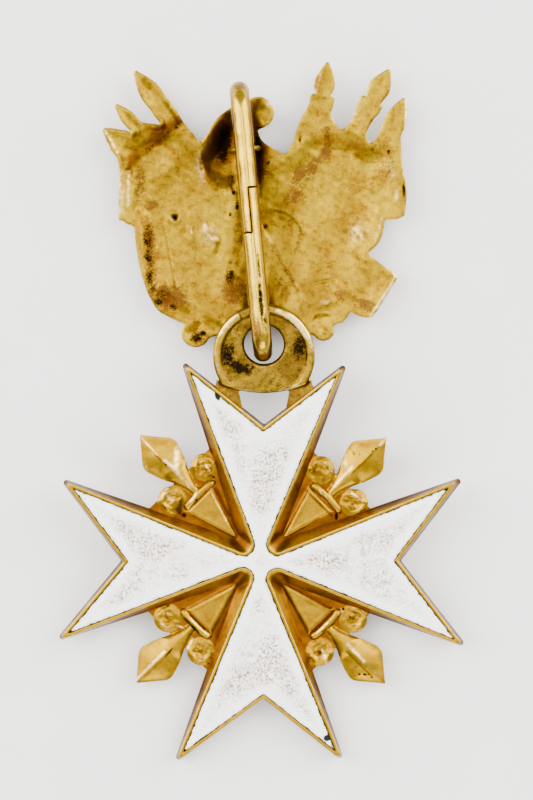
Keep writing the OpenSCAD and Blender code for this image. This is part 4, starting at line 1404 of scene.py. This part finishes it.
@dataclass(frozen=True)
class TrophyOfArms:
    """The cast trophy, hollowed out, its back open and its wall following the forms of its front.

    Plan points are millimetres from the middle of the trophy's foot. The outline's tables hold
    per cent of its width and height, clockwise from the lance at the lower left.

    Attributes:
        slope: Width of the band over which the back falls from its edge.
        plain: Depth of the plain back, as a share of the greatest depth, and most the deepest share.
        staple_d: Wire of the staple.
        staple_at: Place of the staple as a share of the loop's length from its foot.
        lances: Columns are tip, foot, then shares of the length at the shoulder and the neck, then
            half widths of the shoulder, the neck and the band.
        helmet, collar, between, slot, right, foot, left: Corners of the outline's other stretches.
        plume, tassel, ball: Round stretches. Columns are centre, radius, first and last angle.
        hollows: Columns are centre, half width, half height, turn, depth as a share of the greatest.
        boss_rise: Fall of the back outside the boss, and bank its slope beside the loop's dip.
        uneven: Waves of the back, as height, scale and seed.
        eased: Edge's rounding on the back: its depth and width.
        bend_r: Radius of the outline's soft bends, and corner_r that of its sharp corners.
    """

    slope: float = 2.9
    plain: float = 0.06
    most: float = 0.97
    staple_d: float = 0.7
    staple_at: float = 0.76
    lances: Rows = (
        (-50.0, 76.5, -44.8, 72.3, 0.80, 0.90, 3.4, 3.9, 4.2),
        (-46.0, 85.0, -39.1, 77.1, 0.50, 0.80, 2.3, 2.4, 2.4),
        (-39.9, 96.9, -28.6, 80.5, 0.45, 0.75, 3.6, 3.4, 3.6),
        (23.6, 100.0, 21.4, 84.7, 0.50, 0.75, 3.6, 2.7, 4.0),
        (43.8, 97.4, 36.6, 83.3, 0.45, 0.76, 3.7, 3.0, 3.9),
        (48.6, 87.3, 44.2, 75.2, 0.55, 0.80, 3.5, 3.6, 3.6),
    )
    helmet: Pairs = (
        (-24.1, 79.6), (-18.1, 71.8), (-15.6, 75.4), (-13.0, 79.9), (-8.7, 83.6), (-5.5, 85.2),
    )
    collar: Pairs = (
        (0.7, 75.9), (2.0, 72.3), (7.9, 68.4), (9.2, 67.8), (10.2, 68.4), (11.8, 71.4), (14.4, 79.2),
    )
    between: Pairs = ((24.6, 81.5), (26.2, 78.2), (27.8, 76.3), (29.1, 76.8), (31.1, 79.1))
    slot: Pairs = ((38.6, 79.8), (36.3, 75.2), (36.5, 73.1), (37.6, 71.5), (39.3, 73.0))
    right: Pairs = (
        (47.6, 70.0), (47.9, 65.1), (49.0, 58.1), (49.5, 53.6), (48.6, 46.1), (46.4, 44.8),
        (42.4, 44.6), (41.4, 39.2), (39.6, 35.6), (37.2, 33.3), (38.0, 31.6), (44.5, 26.7),
        (46.5, 24.6), (41.9, 16.4), (39.9, 13.0), (37.6, 10.1), (34.7, 10.5), (31.1, 12.2),
        (29.6, 10.1), (28.5, 8.7), (25.4, 7.5),
    )
    foot: Pairs = ((16.4, 4.6), (2.0, 7.8), (-11.0, 4.3))
    left: Pairs = (
        (-24.4, 8.5), (-27.3, 9.9), (-31.3, 12.2), (-32.9, 13.9), (-35.5, 19.0), (-37.3, 24.6),
        (-38.4, 29.5), (-39.3, 35.4), (-40.1, 42.3), (-42.4, 43.1), (-43.2, 44.1), (-44.9, 44.3),
        (-44.9, 63.3), (-45.5, 66.1),
    )
    plume: tuple[float, ...] = (0.7, 82.1, 5.3, 130, -80)
    tassel: tuple[float, ...] = (22.1, 6.2, 3.7, -20, -150)
    ball: tuple[float, ...] = (-19.7, 5.1, 4.8, -20, -220)
    hollows: Rows = (
        (-18.5, 41, 23, 37, 8, 0.5), (21, 43, 20, 33, -6, 0.42), (-10, 68, 10, 16, -8, 0.85),
        (0.7, 82.1, 5, 5, 0, 0.25), (-34.5, 68, 13, 9, 30, 0.28), (30, 66, 14, 10, -15, 0.26),
        (-19.7, 5.1, 4.4, 4.7, 0, 0.3), (33, 22, 9, 7, -55, 0.1), (22, 7.1, 5, 5.6, 0, 0.2),
        (2, 36, 13, 27, 0, 0.55),
    )
    boss_rise: float = 0.12
    bank: float = 0.8
    uneven: Rows = ((0.03, 4.0, 31), (0.016, 1.5, 32))
    eased: tuple[float, float] = (0.16, 0.12)
    bend_r: float = 6.0
    corner_r: float = 0.2

    @property
    def size(self) -> Array:
        """Width and height of the trophy as one per cent of each."""
        return np.array([LAYOUT.trophy_w, LAYOUT.trophy_h]) / 100

    @property
    def origin(self) -> Array:
        """Middle of the trophy's foot in the badge's frame."""
        return LAYOUT.shift + LAYOUT.trophy

    @property
    def loop_foot(self) -> Array:
        """Foot of the loop's middle line in the trophy's plan."""
        return LAYOUT.from_loop(np.zeros((1, 3)))[0, :2] - self.origin

    def lance(self, row: Sequence[float]) -> Array:
        """Returns a lance head's outline, clockwise from the left of its foot over its tip."""
        tip, foot = np.array(row[:4]).reshape(2, 2) * self.size
        along = foot - tip
        left = turned(unit(along)[None], -90)[0] * self.size[0]
        shoulder, neck, wide, thin, band = row[4:]
        place = np.array([0.02, shoulder / 2, shoulder, neck, neck + 0.05, 1])[:, None]
        half = np.array([0.5, wide * 0.64, wide, thin, band, band])[:, None]
        line = tip + place * along
        return np.concatenate([(line + half * left)[::-1], line - half * left])

    def arc(self, row: Sequence[float]) -> Array:
        """Returns a round stretch of the outline."""
        x, y, radius, first, last = row
        spoke = spokes(np.radians(np.linspace(first, last, 9)))
        return np.array([x, y]) * self.size + spoke * radius * self.size[0]

    def outline(self) -> Array:
        """Returns the closed outline, its sharp corners a little eased and its bends smoothed.

        A corner's radius is small where it is sharp, and large where the table only follows a bend,
        but never reaches past the middle of a side.
        """
        lances = [self.lance(row) for row in self.lances]
        bent = [self.helmet, self.collar, self.between, self.slot, self.right, self.foot, self.left]
        helmet, collar, between, slot, right, foot, left = (np.array(run) * self.size for run in bent)
        plume, tassel, ball = (self.arc(row) for row in (self.plume, self.tassel, self.ball))
        runs = [*lances[:3], helmet, plume, collar, lances[3], between, lances[4], slot, lances[5]]
        corners = np.concatenate([*runs, right, tassel, foot, ball, left])
        side = distance(np.roll(corners, -1, axis=0), corners)
        half = corner_sides(corners)[2]
        most = 0.45 * np.minimum(side, np.roll(side, 1)) * np.tan(half)
        wish = np.where(half > math.radians(66), self.bend_r, self.corner_r)
        return rounded(corners, np.minimum(most, wish), 5, 1, np.ones(len(corners)))

    def deepest(self, points: Array) -> Array:
        """Returns the share of the greatest depth at each point: the plain back and its hollows."""
        share = np.full(len(points), self.plain)
        for x, y, half_w, half_h, turn, depth in self.hollows:
            q = turned(points - np.array([x, y]) * self.size, -turn)
            q = q / (np.array([half_w, half_h]) * self.size)
            form = depth * smooth(1 - (q * q).sum(1) * 0.85)
            blend = np.maximum(0.3 - np.abs(share - form), 0) * smooth(form / 0.15)
            share = np.maximum(share, form) + blend * blend / 1.2
        return np.minimum(share, self.most)

    def relief(self, points: Array) -> Array:
        """Returns the small casting marks in the back: steps, ridges, pips, dimples and the boss."""
        rise = steps(points, VIEW.lines(STEPS, self.origin))
        rise += strokes(points, VIEW.lines(RIDGES, self.origin))
        rise += blobs(points, VIEW.spots(PIPS, self.origin))
        rise -= blobs(points, VIEW.spots(DIMPLES, self.origin))
        return rise + waves(points, self.uneven)

    def back(self, points: Array, edge: Array) -> Array:
        """Returns the back's height: the edge's, less the hollows, plus the small casting marks.

        The depth grows from nought at the outline by a smooth step over the sloping band, and the
        surface stays below the dip that the loop lies in.
        """
        deep = LAYOUT.edge_z - LAYOUT.wall
        rise = LAYOUT.edge_z - deep * self.deepest(points) * smooth(edge / self.slope)
        rise += self.relief(points) * smooth((edge - 0.25) / 0.8)
        x, y, radius = VIEW.spots(BOSS, self.origin)[0, :3]
        top = smooth((points[:, 1] - y) / 3.5 + 0.3)
        inward = radius - distance(points, np.array([x, y]))
        rise -= self.boss_rise * smooth(inward / 0.35 + 0.5) * top
        off = np.abs(turned(points - self.loop_foot, -LAYOUT.lean)[:, 0])
        beside = np.maximum(off - LAYOUT.wire_d / 2 - LAYOUT.touch, 0)
        dip = LAYOUT.edge_z - LAYOUT.dip + beside * self.bank
        rise = np.minimum(rise, dip) - np.maximum(0.4 - np.abs(rise - dip), 0) ** 2 / 1.6
        return np.clip(rise, LAYOUT.wall + 0.02, LAYOUT.edge_z)

    def casting(self, cell: float) -> Shell:
        """Returns the casting as a closed wall between its back and its front."""
        line = self.outline()

        def inside(points: Array) -> Array:
            return outline_distance(points, line)

        plan = trimmed_grid(inside, line.min(0) - cell, line.max(0) + cell, cell)
        p = plan.points
        edge = np.maximum(inside(p), 0)
        back = self.back(p, edge)
        masks = {key: blobs(p, VIEW.spots(rows, self.origin)) for key, rows in STAINS.items()}
        for key, rows in BANDS.items():
            masks[key] = np.maximum(masks[key], strokes(p, VIEW.lines(rows, self.origin)))
        # Painted shade that deepens with the back's depth.
        masks["hollow"] = np.clip((LAYOUT.edge_z - back) / 2.8, 0, 1)
        # Painted shade on sloping faces.
        masks["steep"] = self.steepness(plan, back)
        # Painted highlight along the outline's edge, added to the listed glints.
        masks["worn"] = np.minimum(masks["worn"] + 0.45 * bell(edge, 0.16), 1)
        depth, width = self.eased
        shell = slab(plan, back - depth * bell(edge, width), self.front(p, edge, back), masks)
        shell.points[:, :2] += self.origin
        return shell

    @staticmethod
    def steepness(plan: Plan, height: Array) -> Array:
        """Returns the sine of the surface's slope at each point, the mean of the faces round it."""
        a, b, c = (np.column_stack([plan.points, height])[plan.faces[:, i]] for i in range(3))
        total = np.zeros((len(height), 3))
        np.add.at(total, plan.faces.ravel(), np.repeat(unit(np.cross(b - a, c - a)), 3, axis=0))
        return np.linalg.norm(unit(total)[:, :2], axis=1)

    def front(self, points: Array, edge: Array, back: Array) -> Array:
        """Returns the front's height: the back's less the wall, the lances' keels and some folds."""
        front = back - LAYOUT.wall
        for row in self.lances:
            tip, foot = np.array(row[:4]).reshape(2, 2) * self.size
            keel = strokes(points, [[*(tip * 0.9 + foot * 0.1), *foot, 0.7, 0.42]])
            front = front - keel * smooth(edge / 0.7)
        x, y = points.T
        folds = 0.09 * np.sin(x * 2.4 + 0.9 * np.sin(y * 0.45))
        flags = smooth((np.abs(x - 1.0) - 6.5) / 2.5) * smooth((25 - y) / 3)
        return np.maximum(front + folds * flags * smooth(edge / 0.9), 0.0)

    def staple(self) -> Shell:
        """Returns the staple that holds the loop's far strand: an arch with two straight legs."""
        arch = LAYOUT.wire_d / 2 + LAYOUT.touch + self.staple_d / 2
        leg, r, sides = LAYOUT.far_z - LAYOUT.wall / 2, self.staple_d / 2, 20
        outward = spokes(np.linspace(0, math.pi, 25))
        line = np.concatenate([[[arch, -leg]], arch * outward, [[-arch, -leg]]])
        outward = np.concatenate([[[1, 0]], outward, [[-1, 0]]])
        around = np.linspace(0, 2 * math.pi, sides, endpoint=False)
        side = line[:, None] + outward[:, None] * np.cos(around)[:, None] * r
        across = np.broadcast_to(np.sin(around) * r, side.shape[:2])
        points = np.stack([side[..., 0], across, side[..., 1]], 2).reshape(-1, 3)
        points += [0, self.staple_at * LAYOUT.loop_l, (LAYOUT.far_z - LAYOUT.near_z) / 2]
        fan = np.stack([np.zeros(sides - 2, int), np.arange(1, sides - 1), np.arange(2, sides)], 1)
        faces = [net(len(line), sides, False, True), fan, fan[:, ::-1] + (len(line) - 1) * sides]
        # The staple, under the loop, carries painted shade all over.
        return Shell(LAYOUT.from_loop(points), faces, {"hollow": np.full(len(points), 0.8)})


# Finishes


class Graph:
    """A node tree under construction.

    Attributes:
        tree: The node tree.
    """

    def __init__(self, tree: bpy.types.NodeTree) -> None:
        self.tree = tree

    def node(self, kind: str, *links: object, **options: object) -> bpy.types.Node:
        """Adds a node, sets its options and fills its inputs in order; None leaves one as it is."""
        made = self.tree.nodes.new(kind)
        for key, value in options.items():
            setattr(made, key, value)
        for socket, value in zip(made.inputs, links):
            self.fill(socket, value)
        return made

    def fill(self, socket: Socket, value: object) -> None:
        """Links a socket to another one, or sets its value; a colour of three parts is opaque."""
        if isinstance(value, Socket):
            self.tree.links.new(value, socket)
        elif value is not None:
            opaque = socket.type == "RGBA" and len(value) == 3
            socket.default_value = (*value, 1.0) if opaque else value

    def fill_by_name(self, node: bpy.types.Node, values: dict[str, object]) -> None:
        """Fills a node's inputs by their names."""
        for label, value in values.items():
            self.fill(node.inputs[label], value)

    def math(self, kind: str, *values: object, clamp: bool = False) -> Socket:
        """Returns the result of a Math node."""
        return self.node("ShaderNodeMath", *values, operation=kind, use_clamp=clamp).outputs[0]

    def plus(self, a: object, b: object) -> Socket:
        """Returns a sum."""
        return self.math("ADD", a, b)

    def times(self, a: object, b: object) -> Socket:
        """Returns a product."""
        return self.math("MULTIPLY", a, b)

    def noise(self, place: Socket, scale: object, detail: float = 3.0, rough: float = 0.55) -> Socket:
        """Returns smooth noise of a scale per metre, around a half."""
        made = self.node("ShaderNodeTexNoise")
        values = {"Vector": place, "Scale": scale, "Detail": detail, "Roughness": rough}
        self.fill_by_name(made, values)
        return made.outputs["Fac"]

    def pits(self, place: Socket, scale: float, low: float, high: float) -> Socket:
        """Returns round spots in cells of a scale per metre, falling off between two radii."""
        made = self.node("ShaderNodeTexVoronoi", feature="F1")
        self.fill_by_name(made, {"Vector": place, "Scale": scale})
        return self.span(made.outputs["Distance"], low, high, 1.0, 0.0)

    def span(self, value: object, low: float, high: float, bottom: float = 0, top: float = 1) -> Socket:
        """Returns a value between low and high spread smoothly from bottom to top."""
        made = self.node("ShaderNodeMapRange", value, low, high, bottom, top)
        made.interpolation_type = "SMOOTHSTEP"
        return made.outputs[0]

    def mix(self, factor: object, a: object, b: object) -> Socket:
        """Returns a mix of two colours."""
        made = self.node("ShaderNodeMix", data_type="RGBA")
        for index, value in ((0, factor), (6, a), (7, b)):
            self.fill(made.inputs[index], value)
        return made.outputs[2]

    def mask(self, name: str) -> Socket:
        """Returns a mask that the mesh carries."""
        return self.node("ShaderNodeAttribute", attribute_name=name).outputs["Fac"]

    def group(self, tree: bpy.types.NodeTree, values: dict[str, object]) -> bpy.types.Node:
        """Adds a node group and fills its inputs by their names."""
        made = self.node("ShaderNodeGroup")
        made.node_tree = tree
        self.fill_by_name(made, values)
        return made

    def bump(self, height: Socket, depth: float) -> Socket:
        """Returns a normal bent by a height, with the bump's depth in metres."""
        made = self.node("ShaderNodeBump")
        self.fill_by_name(made, {"Strength": 1.0, "Distance": depth, "Height": height})
        return made.outputs[0]

    @property
    def place(self) -> Socket:
        """Object coordinates."""
        return self.node("ShaderNodeTexCoord").outputs["Object"]


def new_material(name: str) -> tuple[bpy.types.Material, Graph, bpy.types.Node]:
    """Returns a new material, its graph and its shader."""
    made = bpy.data.materials.new(name)
    made.use_nodes = True
    return made, Graph(made.node_tree), made.node_tree.nodes["Principled BSDF"]


def new_group(name: str, inputs: dict[str, float | None], outputs: Sequence[str]) -> Graph:
    """Returns the graph of a new shader node group.

    Args:
        name: Name of the group.
        inputs: Default of each input by its name, or None for a vector.
        outputs: Names of the values that it gives.
    """
    tree = bpy.data.node_groups.new(name, "ShaderNodeTree")
    for label, default in inputs.items():
        kind = "Vector" if default is None else "Float"
        socket = tree.interface.new_socket(label, in_out="INPUT", socket_type=f"NodeSocket{kind}")
        if default is not None:
            socket.default_value = default
    for label in outputs:
        tree.interface.new_socket(label, in_out="OUTPUT", socket_type="NodeSocketFloat")
    return Graph(tree)


def patchy_group() -> bpy.types.NodeTree:
    """Builds the group that breaks a soft mask into patches and specks, as tarnish does."""
    g = new_group("patchy_tarnish", {"Place": None, "Mask": 0, "Scale": 900, "Specks": 0.5}, ["Amount"])
    given = g.node("NodeGroupInput").outputs
    fine = g.noise(given["Place"], given["Scale"], 4.0, 0.62)
    speck = g.noise(given["Place"], g.times(given["Scale"], 3.1), 2.0)
    broad = g.times(g.math("SUBTRACT", fine, 0.5), 2.2)
    small = g.times(g.math("SUBTRACT", speck, 0.5), g.times(given["Specks"], 3.0))
    amount = g.times(given["Mask"], g.plus(g.plus(broad, small), 1.0))
    g.node("NodeGroupOutput", g.span(amount, 0.22, 0.72))
    return g.tree


def cast_group() -> bpy.types.NodeTree:
    """Builds the group for a cast and pickled surface: soft waves, grain and scattered pits."""
    g = new_group("cast_surface", {"Place": None, "Grain": 2600, "Pits": 0.5}, ["Height", "Variation"])
    given = g.node("NodeGroupInput").outputs
    grain = g.noise(given["Place"], given["Grain"], 3.0, 0.6)
    wave = g.noise(given["Place"], 420.0, 4.0, 0.5)
    few = g.span(g.noise(given["Place"], 700.0, 1.0), 0.55, 0.68)
    pits = g.times(g.times(g.pits(given["Place"], 1500.0, 0.0, 0.2), few), given["Pits"])
    height = g.plus(g.times(grain, 0.3), g.times(wave, 0.7))
    g.node("NodeGroupOutput", g.math("SUBTRACT", height, pits), wave)
    return g.tree


@dataclass(frozen=True)
class Gilt:
    """A gilt finish.

    Attributes:
        name: Name of the material.
        bright: Colour of the open surface, and warm that of random patches and of painted shade.
        umber: Colour of painted shade, and pale that of bright wear and of painted highlights.
        deep: Colour of dark spots and pits, and of painted deep shadow.
        brown: Colour of the freckles, olive and copper those of the two stains.
        rough: Lowest and highest roughness.
        grain: Grain per metre, and relief the depth of the bump in metres.
        pits: Strength of the pits, mottle of broad and fine patches, freckle of the brown freckles.
        depth_tint: Share of the warm colour, as painted shade, in the deepest hollows.
        stained: Whether the mesh carries copper and olive stains, and dark spots with painted deep
            shadow.
    """

    name: str
    bright: Colour
    warm: Colour
    umber: Colour = (0.05, 0.012, 0.0008)
    pale: Colour = (0.8, 0.58, 0.2)
    deep: Colour = (0.008, 0.004, 0.002)
    brown: Colour = (0.1, 0.032, 0.002)
    olive: Colour = (0.15, 0.065, 0.003)
    copper: Colour = (0.09, 0.03, 0.007)
    rough: tuple[float, float] = (0.3, 0.45)
    grain: float = 2600.0
    relief: float = 0.00004
    pits: float = 0.5
    mottle: tuple[float, float] = (0.45, 0.35)
    freckle: float = 0.3
    depth_tint: float = 0.75
    stained: bool = False

    def material(self, groups: Groups) -> bpy.types.Material:
        """Builds the material."""
        made, g, shader = new_material(self.name)
        place = g.place
        values = {"Place": place, "Grain": self.grain, "Pits": self.pits}
        cast = g.group(groups["cast"], values).outputs

        def patched(mask: Socket, scale: float, specks: float) -> Socket:
            values = {"Place": place, "Mask": mask, "Scale": scale, "Specks": specks}
            return g.group(groups["patchy"], values).outputs[0]

        colour = self.metal(g, place)
        rough = g.span(cast["Variation"], 0.3, 0.7, *self.rough)
        dark = patched(g.mask("crevice"), 1400.0, 0.35)
        if self.stained:
            red = patched(g.times(g.mask("copper"), 1.15), 1200.0, 0.9)
            colour = g.mix(g.times(patched(g.mask("olive"), 500.0, 0.2), 0.6), colour, self.olive)
            colour = g.mix(g.times(red, 0.8), colour, self.copper)
            # Dark spots and pits, with painted deep shadow inside the trophy's helmet and beside the
            # loop.
            dark = g.math("MAXIMUM", dark, patched(g.mask("soot"), 1700.0, 0.7))
            rough = g.plus(rough, g.times(red, 0.12))
        # Painted shade: the shade mask, broken by noise, darkens the colour towards the painted shade
        # colour.
        uneven = g.math("MULTIPLY_ADD", g.noise(place, 1000.0), 1.2, 0.4)
        haze = g.span(g.times(g.mask("shade"), uneven), 0.02, 0.95, 0.0, 0.92)
        # Painted highlights, with bright wear on edges, lighten the colour towards the pale one.
        broken = g.math("MULTIPLY_ADD", g.noise(place, 1700.0), 3.0, -0.6)
        rubbed = g.span(g.times(g.mask("worn"), broken), 0.1, 1.0, 0.0, 0.9)
        colour = g.mix(rubbed, g.mix(haze, colour, self.umber), self.pale)
        g.fill(shader.inputs["Base Color"], g.mix(dark, colour, self.deep))
        g.fill(shader.inputs["Roughness"], g.math("ADD", rough, g.times(dark, 0.3), clamp=True))
        shader.inputs["Metallic"].default_value = 1.0
        g.fill(shader.inputs["Normal"], g.bump(cast["Height"], self.relief))
        return made

    def metal(self, g: Graph, place: Socket) -> Socket:
        """Returns the clean metal's colour: warm in random patches, and warm as painted shade in hollows
        and on sloping sides.
        """
        broad = g.span(g.noise(place, 190.0, 5.0, 0.62), 0.38, 0.68, 0.0, self.mottle[0])
        fine = g.span(g.noise(place, 1300.0, 4.0, 0.7), 0.45, 0.7, 0.0, self.mottle[1])
        # Painted shade: sunk places, the wire's sides and sloping faces turn warm.
        sunk = g.times(g.mask("hollow"), self.depth_tint)
        sunk = g.plus(sunk, g.span(g.mask("steep"), 0.15, 0.8, 0.0, 0.5))
        tint = g.math("MINIMUM", g.plus(g.plus(broad, fine), sunk), 1.0)
        freckles = g.span(g.noise(place, 2300.0, 3.0, 0.65), 0.54, 0.68, 0.0, self.freckle)
        return g.mix(freckles, g.mix(tint, self.bright, self.warm), self.brown)


@dataclass(frozen=True)
class Enamel:
    """White enamel, speckled in the middle of the arms and dark along its edge.

    Attributes:
        name: Name of the material.
        white: Colour of the glaze.
        clouded: Colour of the stained middle of the arms.
        speck: Colour of the fine specks.
        pitted: Colour of the rare pits.
        rim: Colour of the dirt along the edge.
        bluish: Colour of the thin glaze beside it.
        relief: Depth of the bump in metres.
    """

    name: str = "white_enamel"
    white: Colour = (0.96, 0.95, 0.925)
    clouded: Colour = (0.66, 0.53, 0.41)
    speck: Colour = (0.2, 0.12, 0.07)
    pitted: Colour = (0.12, 0.11, 0.1)
    rim: Colour = (0.012, 0.012, 0.01)
    bluish: Colour = (0.45, 0.58, 0.62)
    relief: float = 0.00002

    def material(self) -> bpy.types.Material:
        """Builds the material."""
        made, g, shader = new_material(self.name)
        place, edge = g.place, g.mask("edge")
        cloud = g.span(g.noise(place, 190.0), 0.4, 0.58, 0.3, 1.0)
        cloud = g.times(cloud, g.span(edge, 0.4, 2.2))
        fleck = g.span(g.noise(place, 3300.0, 2.0, 0.6), 0.5, 0.61)
        haze = g.span(g.noise(place, 1400.0, 4.0, 0.75), 0.36, 0.62)
        colour = g.mix(g.times(haze, cloud), self.white, self.clouded)
        colour = g.mix(g.times(fleck, cloud), colour, self.speck)
        rare = g.span(g.noise(place, 330.0, 1.0), 0.56, 0.6)
        pits = g.times(g.pits(place, 420.0, 0.03, 0.075), rare)
        colour = g.mix(g.times(pits, 0.8), colour, self.pitted)
        ragged = g.math("SUBTRACT", g.noise(place, 1300.0, 4.0, 0.65), 0.5)
        near = g.math("SUBTRACT", edge, g.times(ragged, 0.7))
        thin = g.span(g.noise(place, 260.0, 2.0), 0.42, 0.62, 0.2, 1.0)
        colour = g.mix(g.times(g.span(near, 0.1, 0.45, 0.6, 0.0), thin), colour, self.bluish)
        line = g.span(near, -0.02, 0.1, 1.0, 0.0)
        line = g.math("MAXIMUM", line, g.span(g.mask("chip"), 0.3, 0.6))
        rough = g.plus(g.times(fleck, 0.15), 0.22)
        height = g.math("SUBTRACT", g.times(fleck, -0.6), pits)
        g.fill(shader.inputs["Base Color"], g.mix(line, colour, self.rim))
        g.fill(shader.inputs["Roughness"], g.plus(rough, g.times(line, 0.4)))
        g.fill(shader.inputs["Coat Weight"], g.span(line, 0.0, 1.0, 0.3, 0.0))
        g.fill(shader.inputs["Specular IOR Level"], g.span(line, 0.0, 1.0, 0.5, 0.08))
        shader.inputs["Coat Roughness"].default_value = 0.08
        g.fill(shader.inputs["Normal"], g.bump(height, self.relief))
        return made


CROSS_GILT = Gilt(
    "cross_gilt", bright=(0.35, 0.2, 0.0), warm=(0.15, 0.047, 0.0), rough=(0.28, 0.42),
    mottle=(0.2, 0.3), freckle=0.15, depth_tint=0.95,
)
EYE_GILT = Gilt(
    "eye_gilt", bright=(0.3, 0.19, 0.006), warm=(0.12, 0.064, 0.005), rough=(0.24, 0.4),
    pits=0.7, mottle=(0.35, 0.6), freckle=0.5, depth_tint=0.55, stained=True,
)
LOOP_GILT = Gilt(
    "loop_gilt", bright=(0.48, 0.31, 0.015), warm=(0.2, 0.095, 0.002), rough=(0.15, 0.27),
    relief=0.00002, mottle=(0.2, 0.3), depth_tint=0.9, stained=True,
)
TROPHY_GILT = Gilt(
    "trophy_gilt", bright=(0.33, 0.212, 0.0), warm=(0.145, 0.064, 0.0), rough=(0.36, 0.52),
    relief=0.00008, mottle=(0.7, 0.55), freckle=0.42, depth_tint=0.12, stained=True,
)


# The whole badge


# Steps of the grids in millimetres, and the angles in degrees past which an edge stays sharp.
FINE_CELL, BACK_CELL, FRONT_CELL, TROPHY_CELL = 0.13, 0.2, 0.3, 0.16
METAL_SHARP, SMOOTH_SHARP, TROPHY_SHARP = 38, 50, 40


def raised_on_cross(shell: Shell) -> Shell:
    """Returns a shell of the cross's frame in the badge's frame."""
    return Shell(LAYOUT.from_cross(shell.points), shell.faces, shell.masks)


def build_cross(groups: Groups) -> None:
    """Builds the cross: its rims, lilies and eye in place of the frame, and both faces' enamel."""
    gilt, white, cross = CROSS_GILT.material(groups), Enamel().material(), EnamelledCross()
    pieces = {"arm_rims": (cross.rims(), gilt)}
    pieces |= {name: (lily.shell(FINE_CELL), gilt) for name, lily in LILIES.items()}
    pieces["suspension_eye"] = (SuspensionEye().shell(FINE_CELL), EYE_GILT.material(groups))
    for name, (shell, finish) in pieces.items():
        piece = dressed(raised_on_cross(shell), name, METAL_SHARP, finish)
        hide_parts("cross_frame")
    for face, cell in ((Face.BACK, BACK_CELL), (Face.FRONT, FRONT_CELL)):
        name = f"enamel_{face.name.lower()}"
        glaze = raised_on_cross(cross.enamel(face, cell))
        field_piece = dressed(glaze, f"{name}_glaze", SMOOTH_SHARP, white)
        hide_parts(name)


def build_badge() -> None:
    """Builds every piece of the badge and puts it in place of its solid."""
    groups = {"patchy": patchy_group(), "cast": cast_group()}
    build_cross(groups)
    wire, trophy = RibbonLoop().shell(), TrophyOfArms()
    loop = dressed(wire, "loop_wire", SMOOTH_SHARP, LOOP_GILT.material(groups))
    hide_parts("suspension_loop")
    body, gilt = trophy.casting(TROPHY_CELL).joined(trophy.staple()), TROPHY_GILT.material(groups)
    casting = dressed(body, "trophy_casting", TROPHY_SHARP, gilt)
    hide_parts("trophy_of_arms")


# The studio


@dataclass(frozen=True)
class Softbox:
    """A soft rectangular light that faces the badge: place and size in metres, power in watts."""

    name: str
    place: tuple[float, float, float]
    size: tuple[float, float]
    power: float

    def add(self) -> None:
        """Adds the light."""
        light = bpy.data.lights.new(self.name, "AREA")
        light.shape, light.energy = "RECTANGLE", self.power
        light.size, light.size_y = self.size
        lamp = bpy.data.objects.new(self.name, light)
        lamp.location = self.place
        lamp.rotation_euler = Vector(self.place).to_track_quat("Z", "Y").to_euler()
        bpy.context.collection.objects.link(lamp)


SOFTBOXES = (
    Softbox("left_softbox", (-0.78, 0.3, 0.62), (0.8, 1.3), 33.0),
    Softbox("right_softbox", (0.76, 0.4, 0.6), (0.8, 1.2), 30.0),
    Softbox("front_softbox", (0.05, -0.95, 0.6), (1.1, 0.5), 13.0),
    Softbox("top_softbox", (-0.05, 0.15, 1.5), (0.8, 0.8), 13.0),
)
CAMERA_PLACE, CAMERA_LENS = (0.68 * MM, 1.433 * MM, 1.206), 405.0
FLOOR_SIZE, FLOOR_TONES = 3.0, ((0.76, 0.75, 0.73), (0.8, 0.79, 0.77))
WORLD_COLOUR, WORLD_STRENGTH = (1.0, 0.98, 0.95, 1), 0.92


def add_floor() -> None:
    """Adds the plain pale floor."""
    bpy.ops.mesh.primitive_plane_add(size=FLOOR_SIZE)
    floor = bpy.context.active_object
    floor.name = "floor"
    pale, g, shader = new_material("pale_floor")
    tone = g.span(g.noise(g.place, 40.0, 4.0), 0.2, 0.8)
    g.fill(shader.inputs["Base Color"], g.mix(tone, *FLOOR_TONES))
    shader.inputs["Roughness"].default_value = 0.7
    floor.data.materials.append(pale)


def add_camera() -> None:
    """Adds the camera, straight above the badge as in the photograph."""
    camera = bpy.data.cameras.new("camera")
    camera.lens, camera.sensor_width = CAMERA_LENS, 36.0
    camera.clip_start, camera.clip_end = 0.05, 10.0
    view = bpy.data.objects.new("camera", camera)
    view.location = CAMERA_PLACE
    bpy.context.collection.objects.link(view)
    bpy.context.scene.camera = view


def studio() -> None:
    """Adds the floor, the soft lights, the plain surroundings and the camera."""
    add_floor()
    for softbox in SOFTBOXES:
        softbox.add()
    world = bpy.data.worlds.new("studio")
    world.use_nodes = True
    surroundings = world.node_tree.nodes["Background"].inputs
    surroundings["Color"].default_value = WORLD_COLOUR
    surroundings["Strength"].default_value = WORLD_STRENGTH
    bpy.context.scene.world = world
    add_camera()


def main() -> None:
    """Builds the badge and the studio."""
    logging.basicConfig(level=logging.INFO, format="%(message)s")
    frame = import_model()
    log.info("nodes: %s", ", ".join(sorted(frame["nodes"])))
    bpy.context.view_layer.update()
    studio()
    build_badge()


if __name__ == "__main__":
    main()
